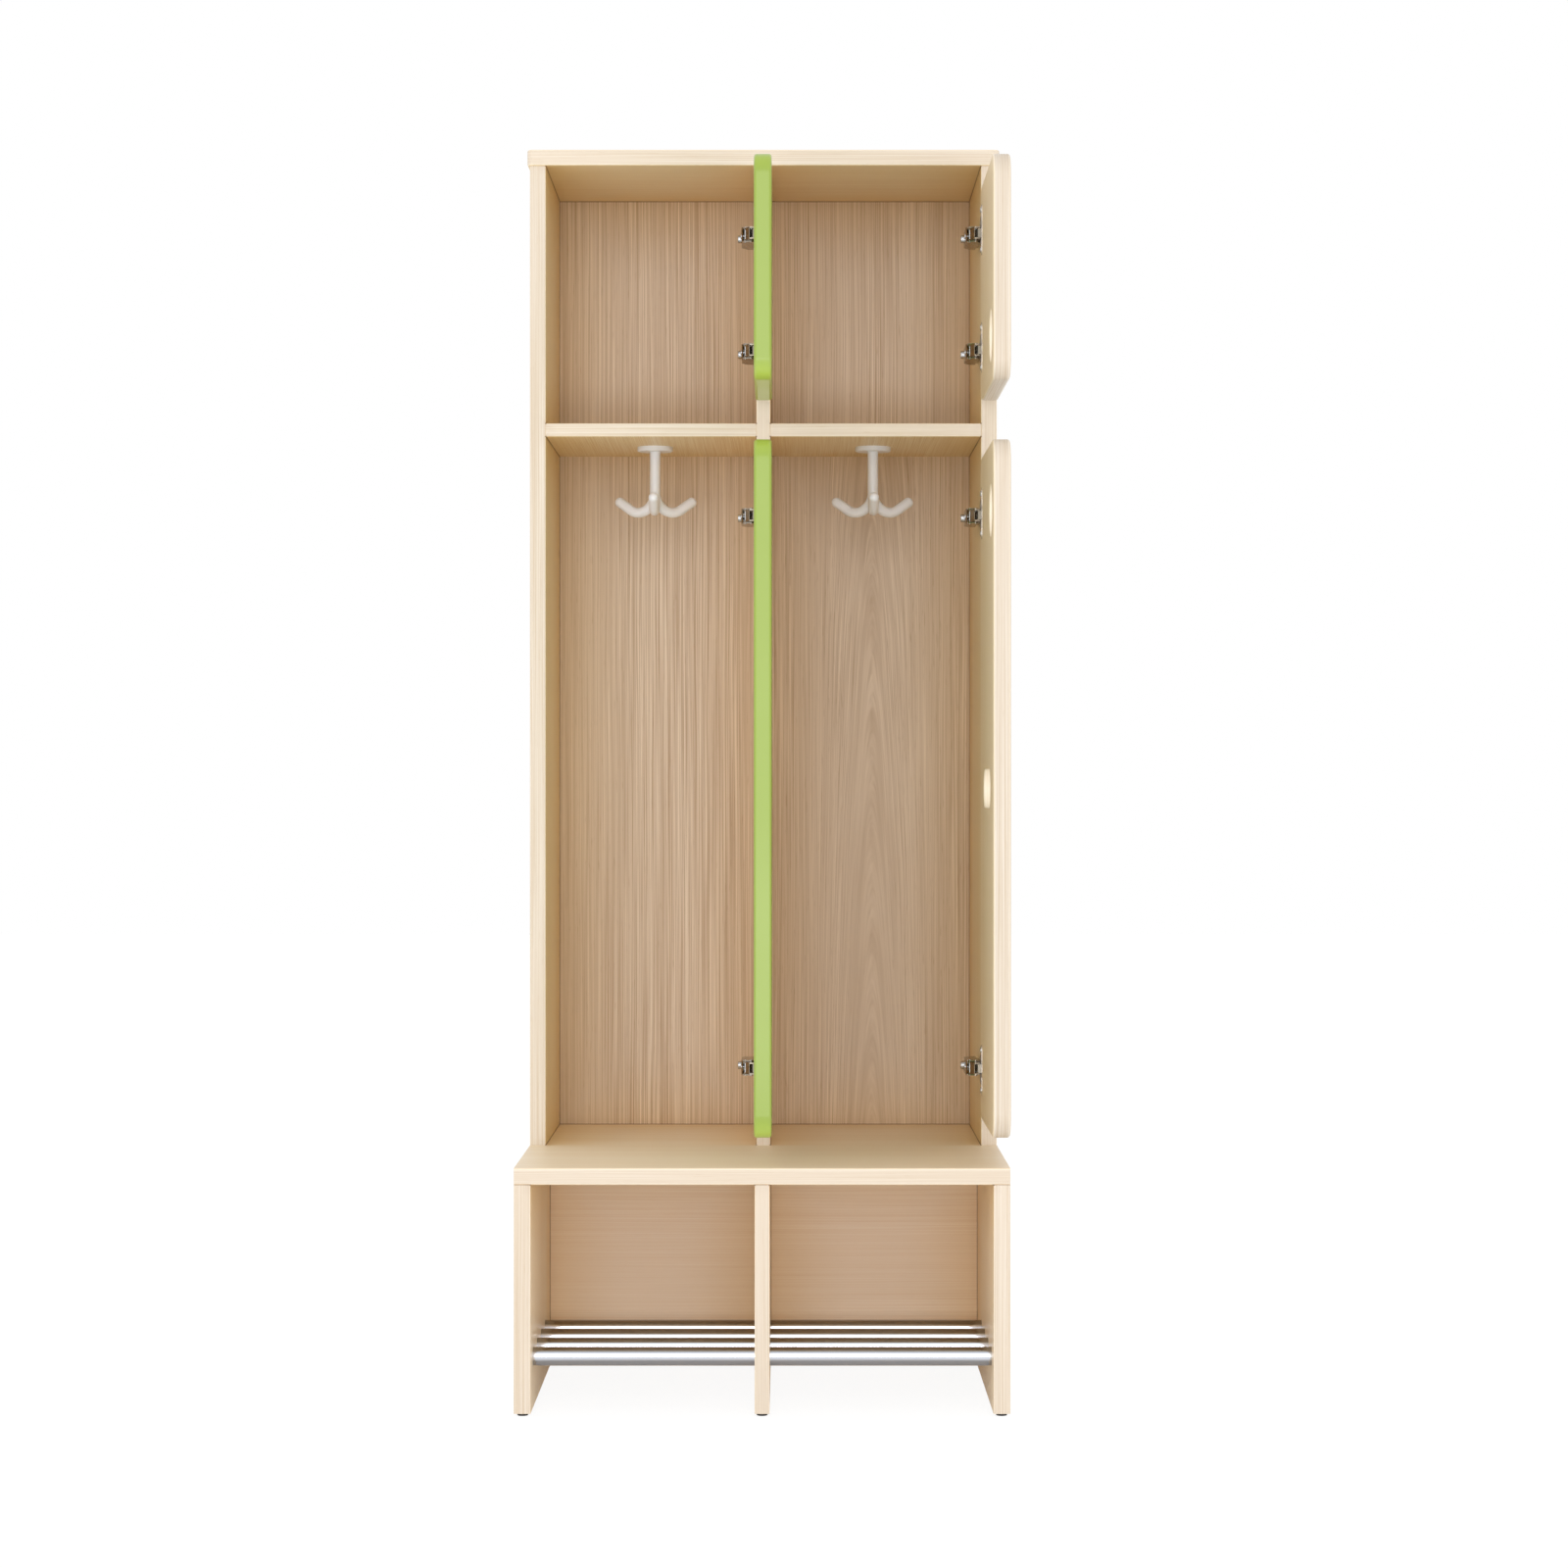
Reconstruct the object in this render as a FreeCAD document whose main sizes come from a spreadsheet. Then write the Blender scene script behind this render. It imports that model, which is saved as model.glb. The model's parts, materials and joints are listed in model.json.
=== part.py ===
import FreeCAD, Part
import math
import os
import re
import Sketcher
from FreeCAD import Placement, Rotation, Vector

# Cloakroom locker with a bench seat: two compartments side by side, four doors
# on concealed cup hinges, two triple coat hooks and four shoe rails.
# Millimetres. X to the right, Y to the back, Z up. The origin lies on the floor,
# mid-width, in the plane of the carcass front. The doors are modelled open.

SIZES = {
    # carcass boards
    "total_height": 1400, "carcass_width": 532, "carcass_depth": 254,
    "side_board": 18, "divider_board": 16, "shelf_board": 15, "back_board": 3,
    "back_rebate": 9, "hat_bay_height": 293.5, "edge_round": 1,
    "top_board": 18, "top_overhang": 3, "top_corner": 6, "top_edge_round": 2,
    # bench
    "seat_height": 266, "seat_board": 18, "seat_depth": 500, "seat_edge_round": 3,
    "bench_bay_depth": 318.5, "bench_back_board": 16,
    # shoe rails
    "rail_radius": 10, "rail_wall": 1.2, "rail_height": 58.2, "rail_first": 42,
    "rail_pitch": 65.5, "rail_socket": 8, "rail_clearance": 0.2,
    # glides
    "glide_radius": 6, "glide_height": 3, "glide_round": 1, "glide_inset": 10,
    "glide_nail_radius": 1.2, "glide_nail_length": 14,
    # doors
    "door_width": 251, "door_board": 19, "door_corner": 25, "door_edge_round": 3,
    "upper_door_drop": 27, "upper_door_rise": 23.5,
    "lower_door_drop": 25.3, "lower_door_rise": 31.2,
    "finger_hole_radius": 28.5, "finger_hole_inset": 52, "hole_edge_round": 2,
    "upper_hole_rise": 52, "lower_hole_drop": 74,
    "vent_slot_length": 133, "vent_slot_height": 42,
    # where the doors stand, closed and open
    "door_overlay": 15, "closed_gap": 2, "open_gap": 3, "open_proud": 0.8,
    # hinge heights on the doors
    "upper_hinge_drop": 51, "upper_hinge_rise": 59,
    "lower_hinge_drop": 65, "lower_hinge_rise": 57,
    # hinge cup
    "cup_radius": 17.5, "cup_depth": 11.5, "cup_wall": 1, "cup_edge_distance": 3.3,
    "cup_clearance": 0.1, "cup_flange": 0.8, "cup_ear_radius": 6,
    "cup_screw_spacing": 45, "cup_screw_offset": 9.5, "cup_screw_radius": 1.5,
    "cup_screw_length": 11, "cup_screw_head_radius": 3.3, "cup_screw_head_height": 1.2,
    # hinge arm and its pins, measured from the panel and from the carcass front
    "arm_height": 17, "arm_length": 62, "arm_half_width": 8.6, "arm_sheet": 1.4,
    "arm_foot": 3.5, "arm_front": 7, "arm_slope_start": 49, "arm_slope_drop": 7,
    "arm_nose_radius": 2.4,
    "outer_pin_rise": 12.5, "outer_pin_back": 4, "inner_pin_rise": 6,
    "inner_pin_back": 0.5, "pin_radius": 1.2, "pin_stand_out": 0.4, "pin_fit": 0.05,
    # hinge links: reach is the distance of the cup pin from the door's swing axis
    "outer_reach": 1.5, "outer_crook_rise": 7, "outer_crook_front": 10.8,
    "outer_half_width": 1.5, "outer_side_offset": 5.4, "outer_sheet": 1.4,
    "outer_knuckle_radius": 2.2, "outer_web_sheet": 1,
    "inner_reach": 6.5, "inner_crook_rise": 3.6, "inner_crook_front": 9.3,
    "inner_half_sheet": 1, "inner_half_height": 4.8, "inner_knuckle_radius": 2,
    "cup_pin_radius": 1.2, "link_fit": 0.08,
    # hinge mounting plate and its screws
    "plate_base": 4.5, "plate_front": 19, "plate_length": 41, "plate_half_width": 6.9,
    "plate_block_front": 29, "plate_block_length": 18, "plate_block_half_width": 5,
    "plate_arm_gap": 0.2, "plate_screw_margin": 5.5, "plate_screw_radius": 1.7,
    "plate_screw_length": 16.5, "plate_screw_head_radius": 3.4,
    "plate_screw_head_height": 1.8,
    "fixing_screw_radius": 2.5, "fixing_screw_length": 9,
    "fixing_screw_head_radius": 4.5, "fixing_screw_head_height": 4.3,
    "adjusting_screw_back": 16, "adjusting_screw_radius": 2,
    "adjusting_screw_length": 5, "adjusting_screw_head_radius": 3.2,
    "adjusting_screw_head_height": 1,
    # coat hooks
    "hook_back": 130, "hook_disc_radius": 21, "hook_disc": 5.5, "hook_disc_round": 2,
    "hook_stem_radius": 6.2, "hook_foot_ease": 2.5, "hook_drop": 82,
    "prong_radius": 6, "prong_count": 3,
    "prong_tip_reach": 48.8, "prong_tip_rise": 12.9, "prong_dip_reach": 23,
    "prong_tip_bend": 20,
    "hook_screw_radius": 2.5, "hook_screw_length": 30, "hook_screw_in_shelf": 12,
    # dowels and screws
    "dowel_radius": 4, "dowel_length": 30, "dowel_in_face": 9, "dowel_inset": 45,
    "seat_screw_radius": 3.5, "seat_screw_length": 50, "seat_screw_head_radius": 5,
    "seat_screw_head_height": 4, "seat_screw_inset": 75,
    "back_screw_radius": 1.5, "back_screw_length": 16, "back_screw_head_radius": 3.2,
    "back_screw_head_height": 1.4, "back_screw_rows": 3, "back_screw_end": 60,
    "fastener_clearance": 0.1, "cut_overrun": 1, "match_tolerance": 0.001,
}

os.makedirs("parts", exist_ok=True)
doc = FreeCAD.newDocument("cloakroom_unit")
sheet = doc.addObject("Spreadsheet::Sheet", "Sizes")
for row, (alias, value) in enumerate(SIZES.items(), start=1):
    sheet.set(f"A{row}", alias)
    sheet.set(f"B{row}", str(value))
    sheet.setAlias(f"B{row}", alias)
doc.recompute()


# Names of sizes inside an expression are looked up in the sheet
def in_sheet(expression):
    return re.sub(r"[a-z][a-z_]+", lambda word: "Sizes." + word.group(), str(expression))


def mm(expression):
    return float(sheet.evalExpression(in_sheet(expression)))


# Places that several pieces share
HALF_WIDTH = "carcass_width / 2"
INNER_HALF = "(carcass_width / 2 - side_board)"
BAY_WIDTH = "((carcass_width - divider_board) / 2 - side_board)"
INNER_DEPTH = "(carcass_depth - back_board)"
CARCASS_TOP = "(total_height - top_board)"
CARCASS_HEIGHT = "(total_height - top_board - seat_height)"
SHELF_UNDERSIDE = "(total_height - top_board - hat_bay_height - shelf_board)"
SEAT_FRONT = "(carcass_depth - seat_depth)"
SEAT_UNDERSIDE = "(seat_height - seat_board)"
BENCH_HEIGHT = "(seat_height - seat_board - glide_height)"
UPPER_DOOR_BOTTOM = "(total_height - top_board - hat_bay_height + upper_door_rise)"
UPPER_DOOR_HEIGHT = "(hat_bay_height - upper_door_drop - upper_door_rise)"
LOWER_DOOR_BOTTOM = "(seat_height + lower_door_rise)"
LOWER_DOOR_HEIGHT = f"({SHELF_UNDERSIDE} - seat_height - lower_door_drop - lower_door_rise)"

TURN_TO_X = Rotation(Vector(0, 1, 0), 90)
NO_TURN = Rotation()
nodes = []


def bind(thing, **expressions):
    for name, expression in expressions.items():
        thing.setExpression(name, in_sheet(expression))


def bind_place(thing, x, y, z):
    for axis, expression in zip("xyz", (x, y, z)):
        thing.setExpression("Placement.Base." + axis, in_sheet(expression))


def add(kind, label):
    thing = doc.addObject(kind, label)
    thing.Label = label
    return thing


def keep(thing, label):
    thing.Label = label
    nodes.append(thing)
    return thing


def box(label, size, place):
    thing = add("Part::Box", label)
    bind(thing, Length=size[0], Width=size[1], Height=size[2])
    bind_place(thing, *place)
    return thing


def cylinder(label, radius, length, place, turn=NO_TURN):
    thing = add("Part::Cylinder", label)
    thing.Placement = Placement(Vector(), turn)
    bind(thing, Radius=radius, Height=length)
    bind_place(thing, *place)
    return thing


def solids(label, shapes):
    thing = add("Part::Feature", label)
    thing.Shape = Part.makeCompound(shapes)
    return thing


# A node of equal solids
def group(label, shapes):
    return keep(solids(label, shapes), label)


def cut(label, base, tool):
    thing = add("Part::Cut", label)
    thing.Base = base
    thing.Tool = tool
    return thing


# Rounds the edges of a solid whose middle point passes the test
def rounded(label, solid, radius, wanted):
    doc.recompute()
    thing = add("Part::Fillet", label)
    thing.Base = solid
    edges = []
    for number, edge in enumerate(solid.Shape.Edges, start=1):
        if wanted(edge.CenterOfMass, edge.tangentAt(edge.FirstParameter)):
            edges.append((number, mm(radius), mm(radius)))
    thing.Edges = edges
    return thing


def near(value, expression):
    return abs(value - mm(expression)) < mm("match_tolerance")


def rod(radius, length, start, direction):
    return Part.makeCylinder(radius, length, start, direction)


X = Vector(1, 0, 0)
Y = Vector(0, 1, 0)
Z = Vector(0, 0, 1)


# Dowels: middle point on the joint face, direction into the drilled edge
def dowel_places():
    inset = mm("dowel_inset")
    depths = (inset, mm(INNER_DEPTH) - inset)
    bench_depths = (mm(SEAT_FRONT) + inset, mm(SEAT_FRONT) + mm("bench_bay_depth") - inset)
    side = mm(HALF_WIDTH) - mm("side_board") / 2
    shelf = mm(SHELF_UNDERSIDE) + mm("shelf_board") / 2
    places = []
    for y in depths:
        for x in (-side, 0, side):
            places.append((Vector(x, y, mm(CARCASS_TOP)), -Z))
            places.append((Vector(x, y, mm("seat_height")), Z))
        for x in (-mm(INNER_HALF), mm(INNER_HALF)):
            places.append((Vector(x, y, shelf), -X if x > 0 else X))
    for y in bench_depths:
        for x in (-side, 0, side):
            places.append((Vector(x, y, mm(SEAT_UNDERSIDE)), -Z))
    back = mm(SEAT_FRONT) + mm("bench_bay_depth") + mm("bench_back_board") / 2
    for x in (-mm(BAY_WIDTH) + inset, mm(BAY_WIDTH) - inset):
        places.append((Vector(x, back, mm(SEAT_UNDERSIDE)), -Z))
    # one dowel runs through the divider into both shelves
    through = []
    for y in depths:
        through.append(Vector(-mm("dowel_length") / 2, y, shelf))
    return places, through


def dowel_shapes(clearance):
    radius = mm("dowel_radius") + clearance
    length = mm("dowel_length") + 2 * clearance
    sunk = mm("dowel_in_face") + clearance
    places, through = dowel_places()
    shapes = [rod(radius, length, middle - into * sunk, into) for middle, into in places]
    shapes += [rod(radius, length, start - X * clearance, X) for start in through]
    return shapes


# Screws that hold the carcass on the seat, put in from below
def seat_screw_shapes(clearance):
    inset = mm("seat_screw_inset")
    side = mm(HALF_WIDTH) - mm("side_board") / 2
    radius = mm("seat_screw_radius") + clearance
    head = mm("seat_screw_head_radius") + clearance
    shapes = []
    for x in (-side, 0, side):
        for y in (inset, mm(INNER_DEPTH) - inset):
            foot = Vector(x, y, mm(SEAT_UNDERSIDE))
            shank = rod(radius, mm("seat_screw_length") + clearance, foot, Z)
            cap = rod(head, mm("seat_screw_head_height") + clearance, foot, Z)
            shapes.append(shank.fuse(cap).removeSplitter())
    return shapes


# Flush screws in the back panel: one row at the shelf, one near the top, the rest below
def back_screw_shapes(clearance):
    low = mm("seat_height") + mm("back_screw_end")
    shelf = mm(SHELF_UNDERSIDE) + mm("shelf_board") / 2
    rows = int(mm("back_screw_rows"))
    levels = [low + (shelf - low) * row / rows for row in range(rows)]
    levels += [shelf, mm(CARCASS_TOP) - mm("back_screw_end")]
    side = mm(HALF_WIDTH) - mm("side_board") + mm("back_rebate") / 2
    radius = mm("back_screw_radius") + clearance
    head = mm("back_screw_head_radius") + clearance
    shapes = []
    for level in levels:
        for x in (-side, 0, side):
            seat = Vector(x, mm("carcass_depth"), level)
            shank = rod(radius, mm("back_screw_length") + clearance, seat, -Y)
            cap = rod(head, mm("back_screw_head_height") + clearance, seat, -Y)
            shapes.append(shank.fuse(cap).removeSplitter())
    return shapes


def glide_places():
    half = mm(HALF_WIDTH) - mm("side_board") / 2
    front = mm(SEAT_FRONT) + mm("glide_inset")
    rear = mm("carcass_depth") - mm("glide_inset")
    bay_rear = mm(SEAT_FRONT) + mm("bench_bay_depth") - mm("glide_inset")
    return [(x, y) for x in (-half, half) for y in (front, rear)] + [(0, front), (0, bay_rear)]


def glide_nails(clearance):
    radius = mm("glide_nail_radius") + clearance
    length = mm("glide_nail_length") + clearance
    return [rod(radius, length, Vector(x, y, mm("glide_height")), Z) for x, y in glide_places()]


# Hinges: each stands at a panel's inner face, at the height of its cup
HINGE_PANELS = {"left": "(0 - divider_board / 2)", "right": INNER_HALF}
DOOR_LEVELS = {
    "upper": (UPPER_DOOR_BOTTOM, UPPER_DOOR_HEIGHT, "upper_hinge_rise", "upper_hinge_drop"),
    "lower": (LOWER_DOOR_BOTTOM, LOWER_DOOR_HEIGHT, "lower_hinge_rise", "lower_hinge_drop"),
}


def hinge_places(level, side):
    bottom, height, rise, drop = DOOR_LEVELS[level]
    low = mm(bottom) + mm(rise)
    high = mm(bottom) + mm(height) - mm(drop)
    return [Vector(mm(HINGE_PANELS[side]), 0, level) for level in (low, high)]


ALL_HINGES = [
    place
    for level in DOOR_LEVELS
    for side in HINGE_PANELS
    for place in hinge_places(level, side)
]


def at_hinges(shape, places):
    return [shape.translated(place) for place in places]


# The mounting plate's two screws
def plate_screw(clearance):
    front = mm("plate_front") + mm("plate_screw_margin")
    rear = mm("plate_front") + mm("plate_length") - mm("plate_screw_margin")
    base = mm("plate_base")
    radius = mm("plate_screw_radius") + clearance
    shapes = []
    for y in (front, rear):
        seat = Vector(-base, y, 0)
        shank = rod(radius, mm("plate_screw_length") + clearance, seat, X)
        cap = rod(mm("plate_screw_head_radius"), mm("plate_screw_head_height"), seat, -X)
        shapes.append(shank.fuse(cap).removeSplitter())
    return shapes


clear = mm("fastener_clearance")
dowel_holes = solids("dowel_holes", dowel_shapes(clear))
seat_screw_holes = solids("seat_screw_holes", seat_screw_shapes(clear))
back_screw_holes = solids("back_screw_holes", back_screw_shapes(clear))
glide_holes = solids("glide_holes", glide_nails(clear))
plate_holes = solids(
    "plate_holes",
    [hole for shape in plate_screw(clear) for hole in at_hinges(shape, ALL_HINGES)],
)


def hook_screw_shapes(clearance):
    start = mm(SHELF_UNDERSIDE) + mm("hook_screw_in_shelf") - mm("hook_screw_length")
    radius = mm("hook_screw_radius") + clearance
    middle = (mm("divider_board") + mm(BAY_WIDTH)) / 2
    return [
        rod(radius, mm("hook_screw_length") + 2 * clearance,
            Vector(x, mm("hook_back"), start - clearance), Z)
        for x in (-middle, middle)
    ]


hook_holes = solids("hook_holes", hook_screw_shapes(clear))


# Shoe rails, bored through the bench divider and let into the bench sides
RAIL_NAMES = ("front_shoe_rail", "second_shoe_rail", "third_shoe_rail", "rear_shoe_rail")


def rail_place(number):
    return f"{SEAT_FRONT} + rail_first + rail_pitch * {number}"


rail_bores = add("Part::MultiFuse", "rail_bores")
rail_bores.Shapes = [
    cylinder(
        f"rail_bore_{number}", "rail_radius + rail_clearance",
        f"2 * {INNER_HALF} + 2 * rail_socket",
        (f"0 - {INNER_HALF} - rail_socket", rail_place(number), "rail_height"), TURN_TO_X,
    )
    for number in range(len(RAIL_NAMES))
]
for number, name in enumerate(RAIL_NAMES):
    ends = f"0 - {INNER_HALF} - rail_socket + rail_clearance"
    long = f"2 * ({INNER_HALF} + rail_socket - rail_clearance)"
    skin = cylinder(name + "_skin", "rail_radius", long,
                    (ends, rail_place(number), "rail_height"), TURN_TO_X)
    bore = cylinder(name + "_bore", "rail_radius - rail_wall",
                    long + " + 2 * cut_overrun",
                    (ends + " - cut_overrun", rail_place(number), "rail_height"), TURN_TO_X)
    keep(cut(name, skin, bore), name)


def holes(label, *tools):
    joined = add("Part::Compound", label)
    joined.Links = list(tools)
    return joined


# Carcass sides, rebated for the back panel
side_holes = holes("side_holes", dowel_holes, seat_screw_holes, back_screw_holes, plate_holes)
rebates = box(
    "back_rebates",
    (f"2 * ({INNER_HALF} + back_rebate)", "back_board + cut_overrun", CARCASS_HEIGHT),
    (f"0 - {INNER_HALF} - back_rebate", INNER_DEPTH, "seat_height"),
)
for name, left_edge in (("left_side", f"0 - {HALF_WIDTH}"), ("right_side", INNER_HALF)):
    board = box(name + "_board", ("side_board", "carcass_depth", CARCASS_HEIGHT),
                (left_edge, 0, "seat_height"))
    board = rounded(name + "_eased", board, "edge_round",
                    lambda middle, along: near(middle.y, 0) and abs(along.z) > abs(along.x))
    board = cut(name + "_rebated", board, rebates)
    keep(cut(name, board, side_holes), name)

board = box("divider_plain", ("divider_board", INNER_DEPTH, CARCASS_HEIGHT),
            ("0 - divider_board / 2", 0, "seat_height"))
board = rounded("divider_eased", board, "edge_round",
                lambda middle, along: near(middle.y, 0) and abs(along.z) > abs(along.x))
keep(cut("divider", board, side_holes), "divider")

shelf_holes = holes("shelf_holes", dowel_holes, hook_holes, back_screw_holes)
for name, left_edge in (("left_shelf", f"0 - {INNER_HALF}"),
                        ("right_shelf", "divider_board / 2")):
    board = box(name + "_board", (BAY_WIDTH, INNER_DEPTH, "shelf_board"),
                (left_edge, 0, SHELF_UNDERSIDE))
    board = rounded(name + "_eased", board, "edge_round",
                    lambda middle, along: near(middle.y, 0) and abs(along.x) > abs(along.z))
    keep(cut(name, board, shelf_holes), name)

board = box("back_panel_board", (f"2 * ({INNER_HALF} + back_rebate)", "back_board",
                                 CARCASS_HEIGHT),
            (f"0 - {INNER_HALF} - back_rebate", INNER_DEPTH, "seat_height"))
keep(cut("back_panel", board, back_screw_holes), "back_panel")

# Top board: stands proud of the sides and the front, with eased edges
board = box("top_board_blank", ("carcass_width + 2 * top_overhang",
                                "carcass_depth + top_overhang", "top_board"),
            (f"0 - {HALF_WIDTH} - top_overhang", "0 - top_overhang", CARCASS_TOP))
board = rounded("top_board_corners", board, "top_corner",
                lambda middle, along: near(middle.y, "0 - top_overhang")
                and abs(along.z) > abs(along.x))
board = rounded("top_board_eased", board, "top_edge_round",
                lambda middle, along: abs(along.z) < abs(along.x) + abs(along.y)
                and not near(middle.y, "carcass_depth"))
keep(cut("top_board", board, dowel_holes), "top_board")

# Bench
board = box("seat_blank", ("carcass_width", "seat_depth", "seat_board"),
            (f"0 - {HALF_WIDTH}", SEAT_FRONT, SEAT_UNDERSIDE))
board = rounded("seat_eased", board, "seat_edge_round",
                lambda middle, along: near(middle.y, SEAT_FRONT) and abs(along.x) > abs(along.z))
seat_holes = holes("seat_holes", dowel_holes, seat_screw_holes)
keep(cut("seat_board", board, seat_holes), "seat_board")

bench_holes = holes("bench_holes", dowel_holes, rail_bores, glide_holes)
for name, left_edge in (("bench_left_side", f"0 - {HALF_WIDTH}"),
                        ("bench_right_side", INNER_HALF)):
    board = box(name + "_board", ("side_board", "seat_depth", BENCH_HEIGHT),
                (left_edge, SEAT_FRONT, "glide_height"))
    board = rounded(name + "_eased", board, "edge_round",
                    lambda middle, along: near(middle.y, SEAT_FRONT) and abs(along.z) > abs(along.x))
    keep(cut(name, board, bench_holes), name)

board = box("bench_divider_board", ("divider_board", "bench_bay_depth", BENCH_HEIGHT),
            ("0 - divider_board / 2", SEAT_FRONT, "glide_height"))
board = rounded("bench_divider_eased", board, "edge_round",
                lambda middle, along: near(middle.y, SEAT_FRONT) and abs(along.z) > abs(along.x))
keep(cut("bench_divider", board, bench_holes), "bench_divider")

board = box("bench_back_board", (f"2 * {INNER_HALF}", "bench_back_board", BENCH_HEIGHT),
            (f"0 - {INNER_HALF}", f"{SEAT_FRONT} + bench_bay_depth", "glide_height"))
keep(cut("bench_back", board, dowel_holes), "bench_back")


# Sketches lie in a body's XZ plane, with sizes tied to the sheet
def body_plane(body, role):
    return next(item for item in body.Origin.OriginFeatures if item.Role == role)


def new_sketch(body, name, role="XZ_Plane"):
    sketch = body.newObject("Sketcher::SketchObject", name)
    sketch.AttachmentSupport = (body_plane(body, role), [""])
    sketch.MapMode = "FlatFace"
    return sketch


def constrain(sketch, expression, *definition):
    number = sketch.addConstraint(Sketcher.Constraint(*definition, mm(expression)))
    sketch.setExpression(f"Constraints[{number}]", in_sheet(expression))


def relate(sketch, *definition):
    sketch.addConstraint(Sketcher.Constraint(*definition))


def sketch_rectangle(sketch, x0, y0, x1, y1):
    corners = [Vector(mm(x), mm(y), 0) for x, y in ((x0, y0), (x1, y0), (x1, y1), (x0, y1))]
    first = sketch.GeometryCount
    for number in range(4):
        sketch.addGeometry(Part.LineSegment(corners[number], corners[(number + 1) % 4]))
    for number in range(4):
        relate(sketch, "Coincident", first + number, 2, first + (number + 1) % 4, 1)
        relate(sketch, "Horizontal" if number % 2 == 0 else "Vertical", first + number)
    constrain(sketch, x0, "DistanceX", -1, 1, first, 1)
    constrain(sketch, y0, "DistanceY", -1, 1, first, 1)
    constrain(sketch, x1, "DistanceX", -1, 1, first + 1, 2)
    constrain(sketch, y1, "DistanceY", -1, 1, first + 1, 2)


def sketch_circle(sketch, x, y, radius):
    middle = Vector(mm(x), mm(y), 0)
    number = sketch.addGeometry(Part.Circle(middle, Vector(0, 0, 1), mm(radius)))
    constrain(sketch, x, "DistanceX", -1, 1, number, 3)
    constrain(sketch, y, "DistanceY", -1, 1, number, 3)
    constrain(sketch, radius, "Radius", number)


def sketch_slot(sketch, x, y, length, height):
    half = mm(height) / 2
    run = mm(length) / 2 - half
    left = Vector(mm(x) - run, mm(y), 0)
    right = Vector(mm(x) + run, mm(y), 0)
    quarter = math.pi / 2
    up = Vector(0, half, 0)
    first = sketch.GeometryCount
    sketch.addGeometry(Part.ArcOfCircle(Part.Circle(left, Vector(0, 0, 1), half),
                                        quarter, 3 * quarter))
    sketch.addGeometry(Part.LineSegment(left - up, right - up))
    sketch.addGeometry(Part.ArcOfCircle(Part.Circle(right, Vector(0, 0, 1), half),
                                        -quarter, quarter))
    sketch.addGeometry(Part.LineSegment(right + up, left + up))
    for number in range(4):
        relate(sketch, "Tangent", first + number, 2, first + (number + 1) % 4, 1)
    relate(sketch, "Horizontal", first + 1)
    constrain(sketch, f"({height}) / 2", "Radius", first)
    constrain(sketch, f"({x}) - ({length}) / 2 + ({height}) / 2", "DistanceX", -1, 1, first, 3)
    constrain(sketch, f"({x}) + ({length}) / 2 - ({height}) / 2", "DistanceX", -1, 1, first + 2, 3)
    constrain(sketch, y, "DistanceY", -1, 1, first, 3)


def pad(body, name, sketch, length):
    feature = body.newObject("PartDesign::Pad", name)
    feature.Profile = sketch
    bind(feature, Length=length)
    feature.Reversed = True
    return feature


def pocket(body, name, sketch, length):
    feature = body.newObject("PartDesign::Pocket", name)
    feature.Profile = sketch
    bind(feature, Length=length)
    return feature


def body_fillet(body, name, base, radius, wanted):
    doc.recompute()
    edges = [
        f"Edge{number}"
        for number, edge in enumerate(base.Shape.Edges, start=1)
        if wanted(edge)
    ]
    feature = body.newObject("PartDesign::Fillet", name)
    feature.Base = (base, edges)
    bind(feature, Radius=radius)
    return feature


# A door lies in the XZ plane while it is made: X from its hinge edge, Z from its
# bottom edge, Y from its inner face. Its placement then stands it open.
def door(level, side):
    bottom, height, rise, drop = DOOR_LEVELS[level]
    name = f"{level}_{side}_door"
    body = doc.addObject("PartDesign::Body", name)
    outline = new_sketch(body, name + "_outline")
    sketch_rectangle(outline, "0", "0", "door_width", height)
    panel = pad(body, name + "_panel", outline, "door_board")
    panel = body_fillet(body, name + "_corners", panel, "door_corner",
                        lambda edge: abs(edge.tangentAt(edge.FirstParameter).y) > 1 / 2)
    panel = body_fillet(body, name + "_edges", panel, "door_edge_round",
                        lambda edge: near(edge.BoundBox.YLength, 0))
    openings = new_sketch(body, name + "_openings")
    hole_across = "door_width - finger_hole_inset"
    if level == "upper":
        sketch_circle(openings, hole_across, "upper_hole_rise", "finger_hole_radius")
    else:
        sketch_circle(openings, hole_across, f"{height} - lower_hole_drop",
                      "finger_hole_radius")
        sketch_slot(openings, "door_width / 2", f"{height} / 2",
                    "vent_slot_length", "vent_slot_height")
    panel = pocket(body, name + "_cut_outs", openings, "door_board + cut_overrun")
    panel = body_fillet(body, name + "_hole_edges", panel, "hole_edge_round",
                        lambda edge: near(edge.BoundBox.YLength, 0) and is_hole_edge(edge, level))
    cups = new_sketch(body, name + "_cup_seats")
    pilots = new_sketch(body, name + "_screw_pilots")
    cup_across = "cup_edge_distance + cup_radius"
    for height_up in (rise, f"{height} - {drop}"):
        sketch_circle(cups, cup_across, height_up, "cup_radius + cup_clearance")
        for sign in ("+", "-"):
            sketch_circle(pilots, f"{cup_across} + cup_screw_offset",
                          f"{height_up} {sign} cup_screw_spacing / 2",
                          "cup_screw_radius + fastener_clearance")
    pocket(body, name + "_cup_bores", cups, "cup_depth + cup_clearance")
    pocket(body, name + "_pilot_bores", pilots, "cup_screw_length")
    body.Placement = Placement(Vector(), Rotation(Z, -90))
    bind_place(body, f"{HINGE_PANELS[side]} - open_proud", "0 - open_gap", bottom)
    return keep(body, name)


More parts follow.
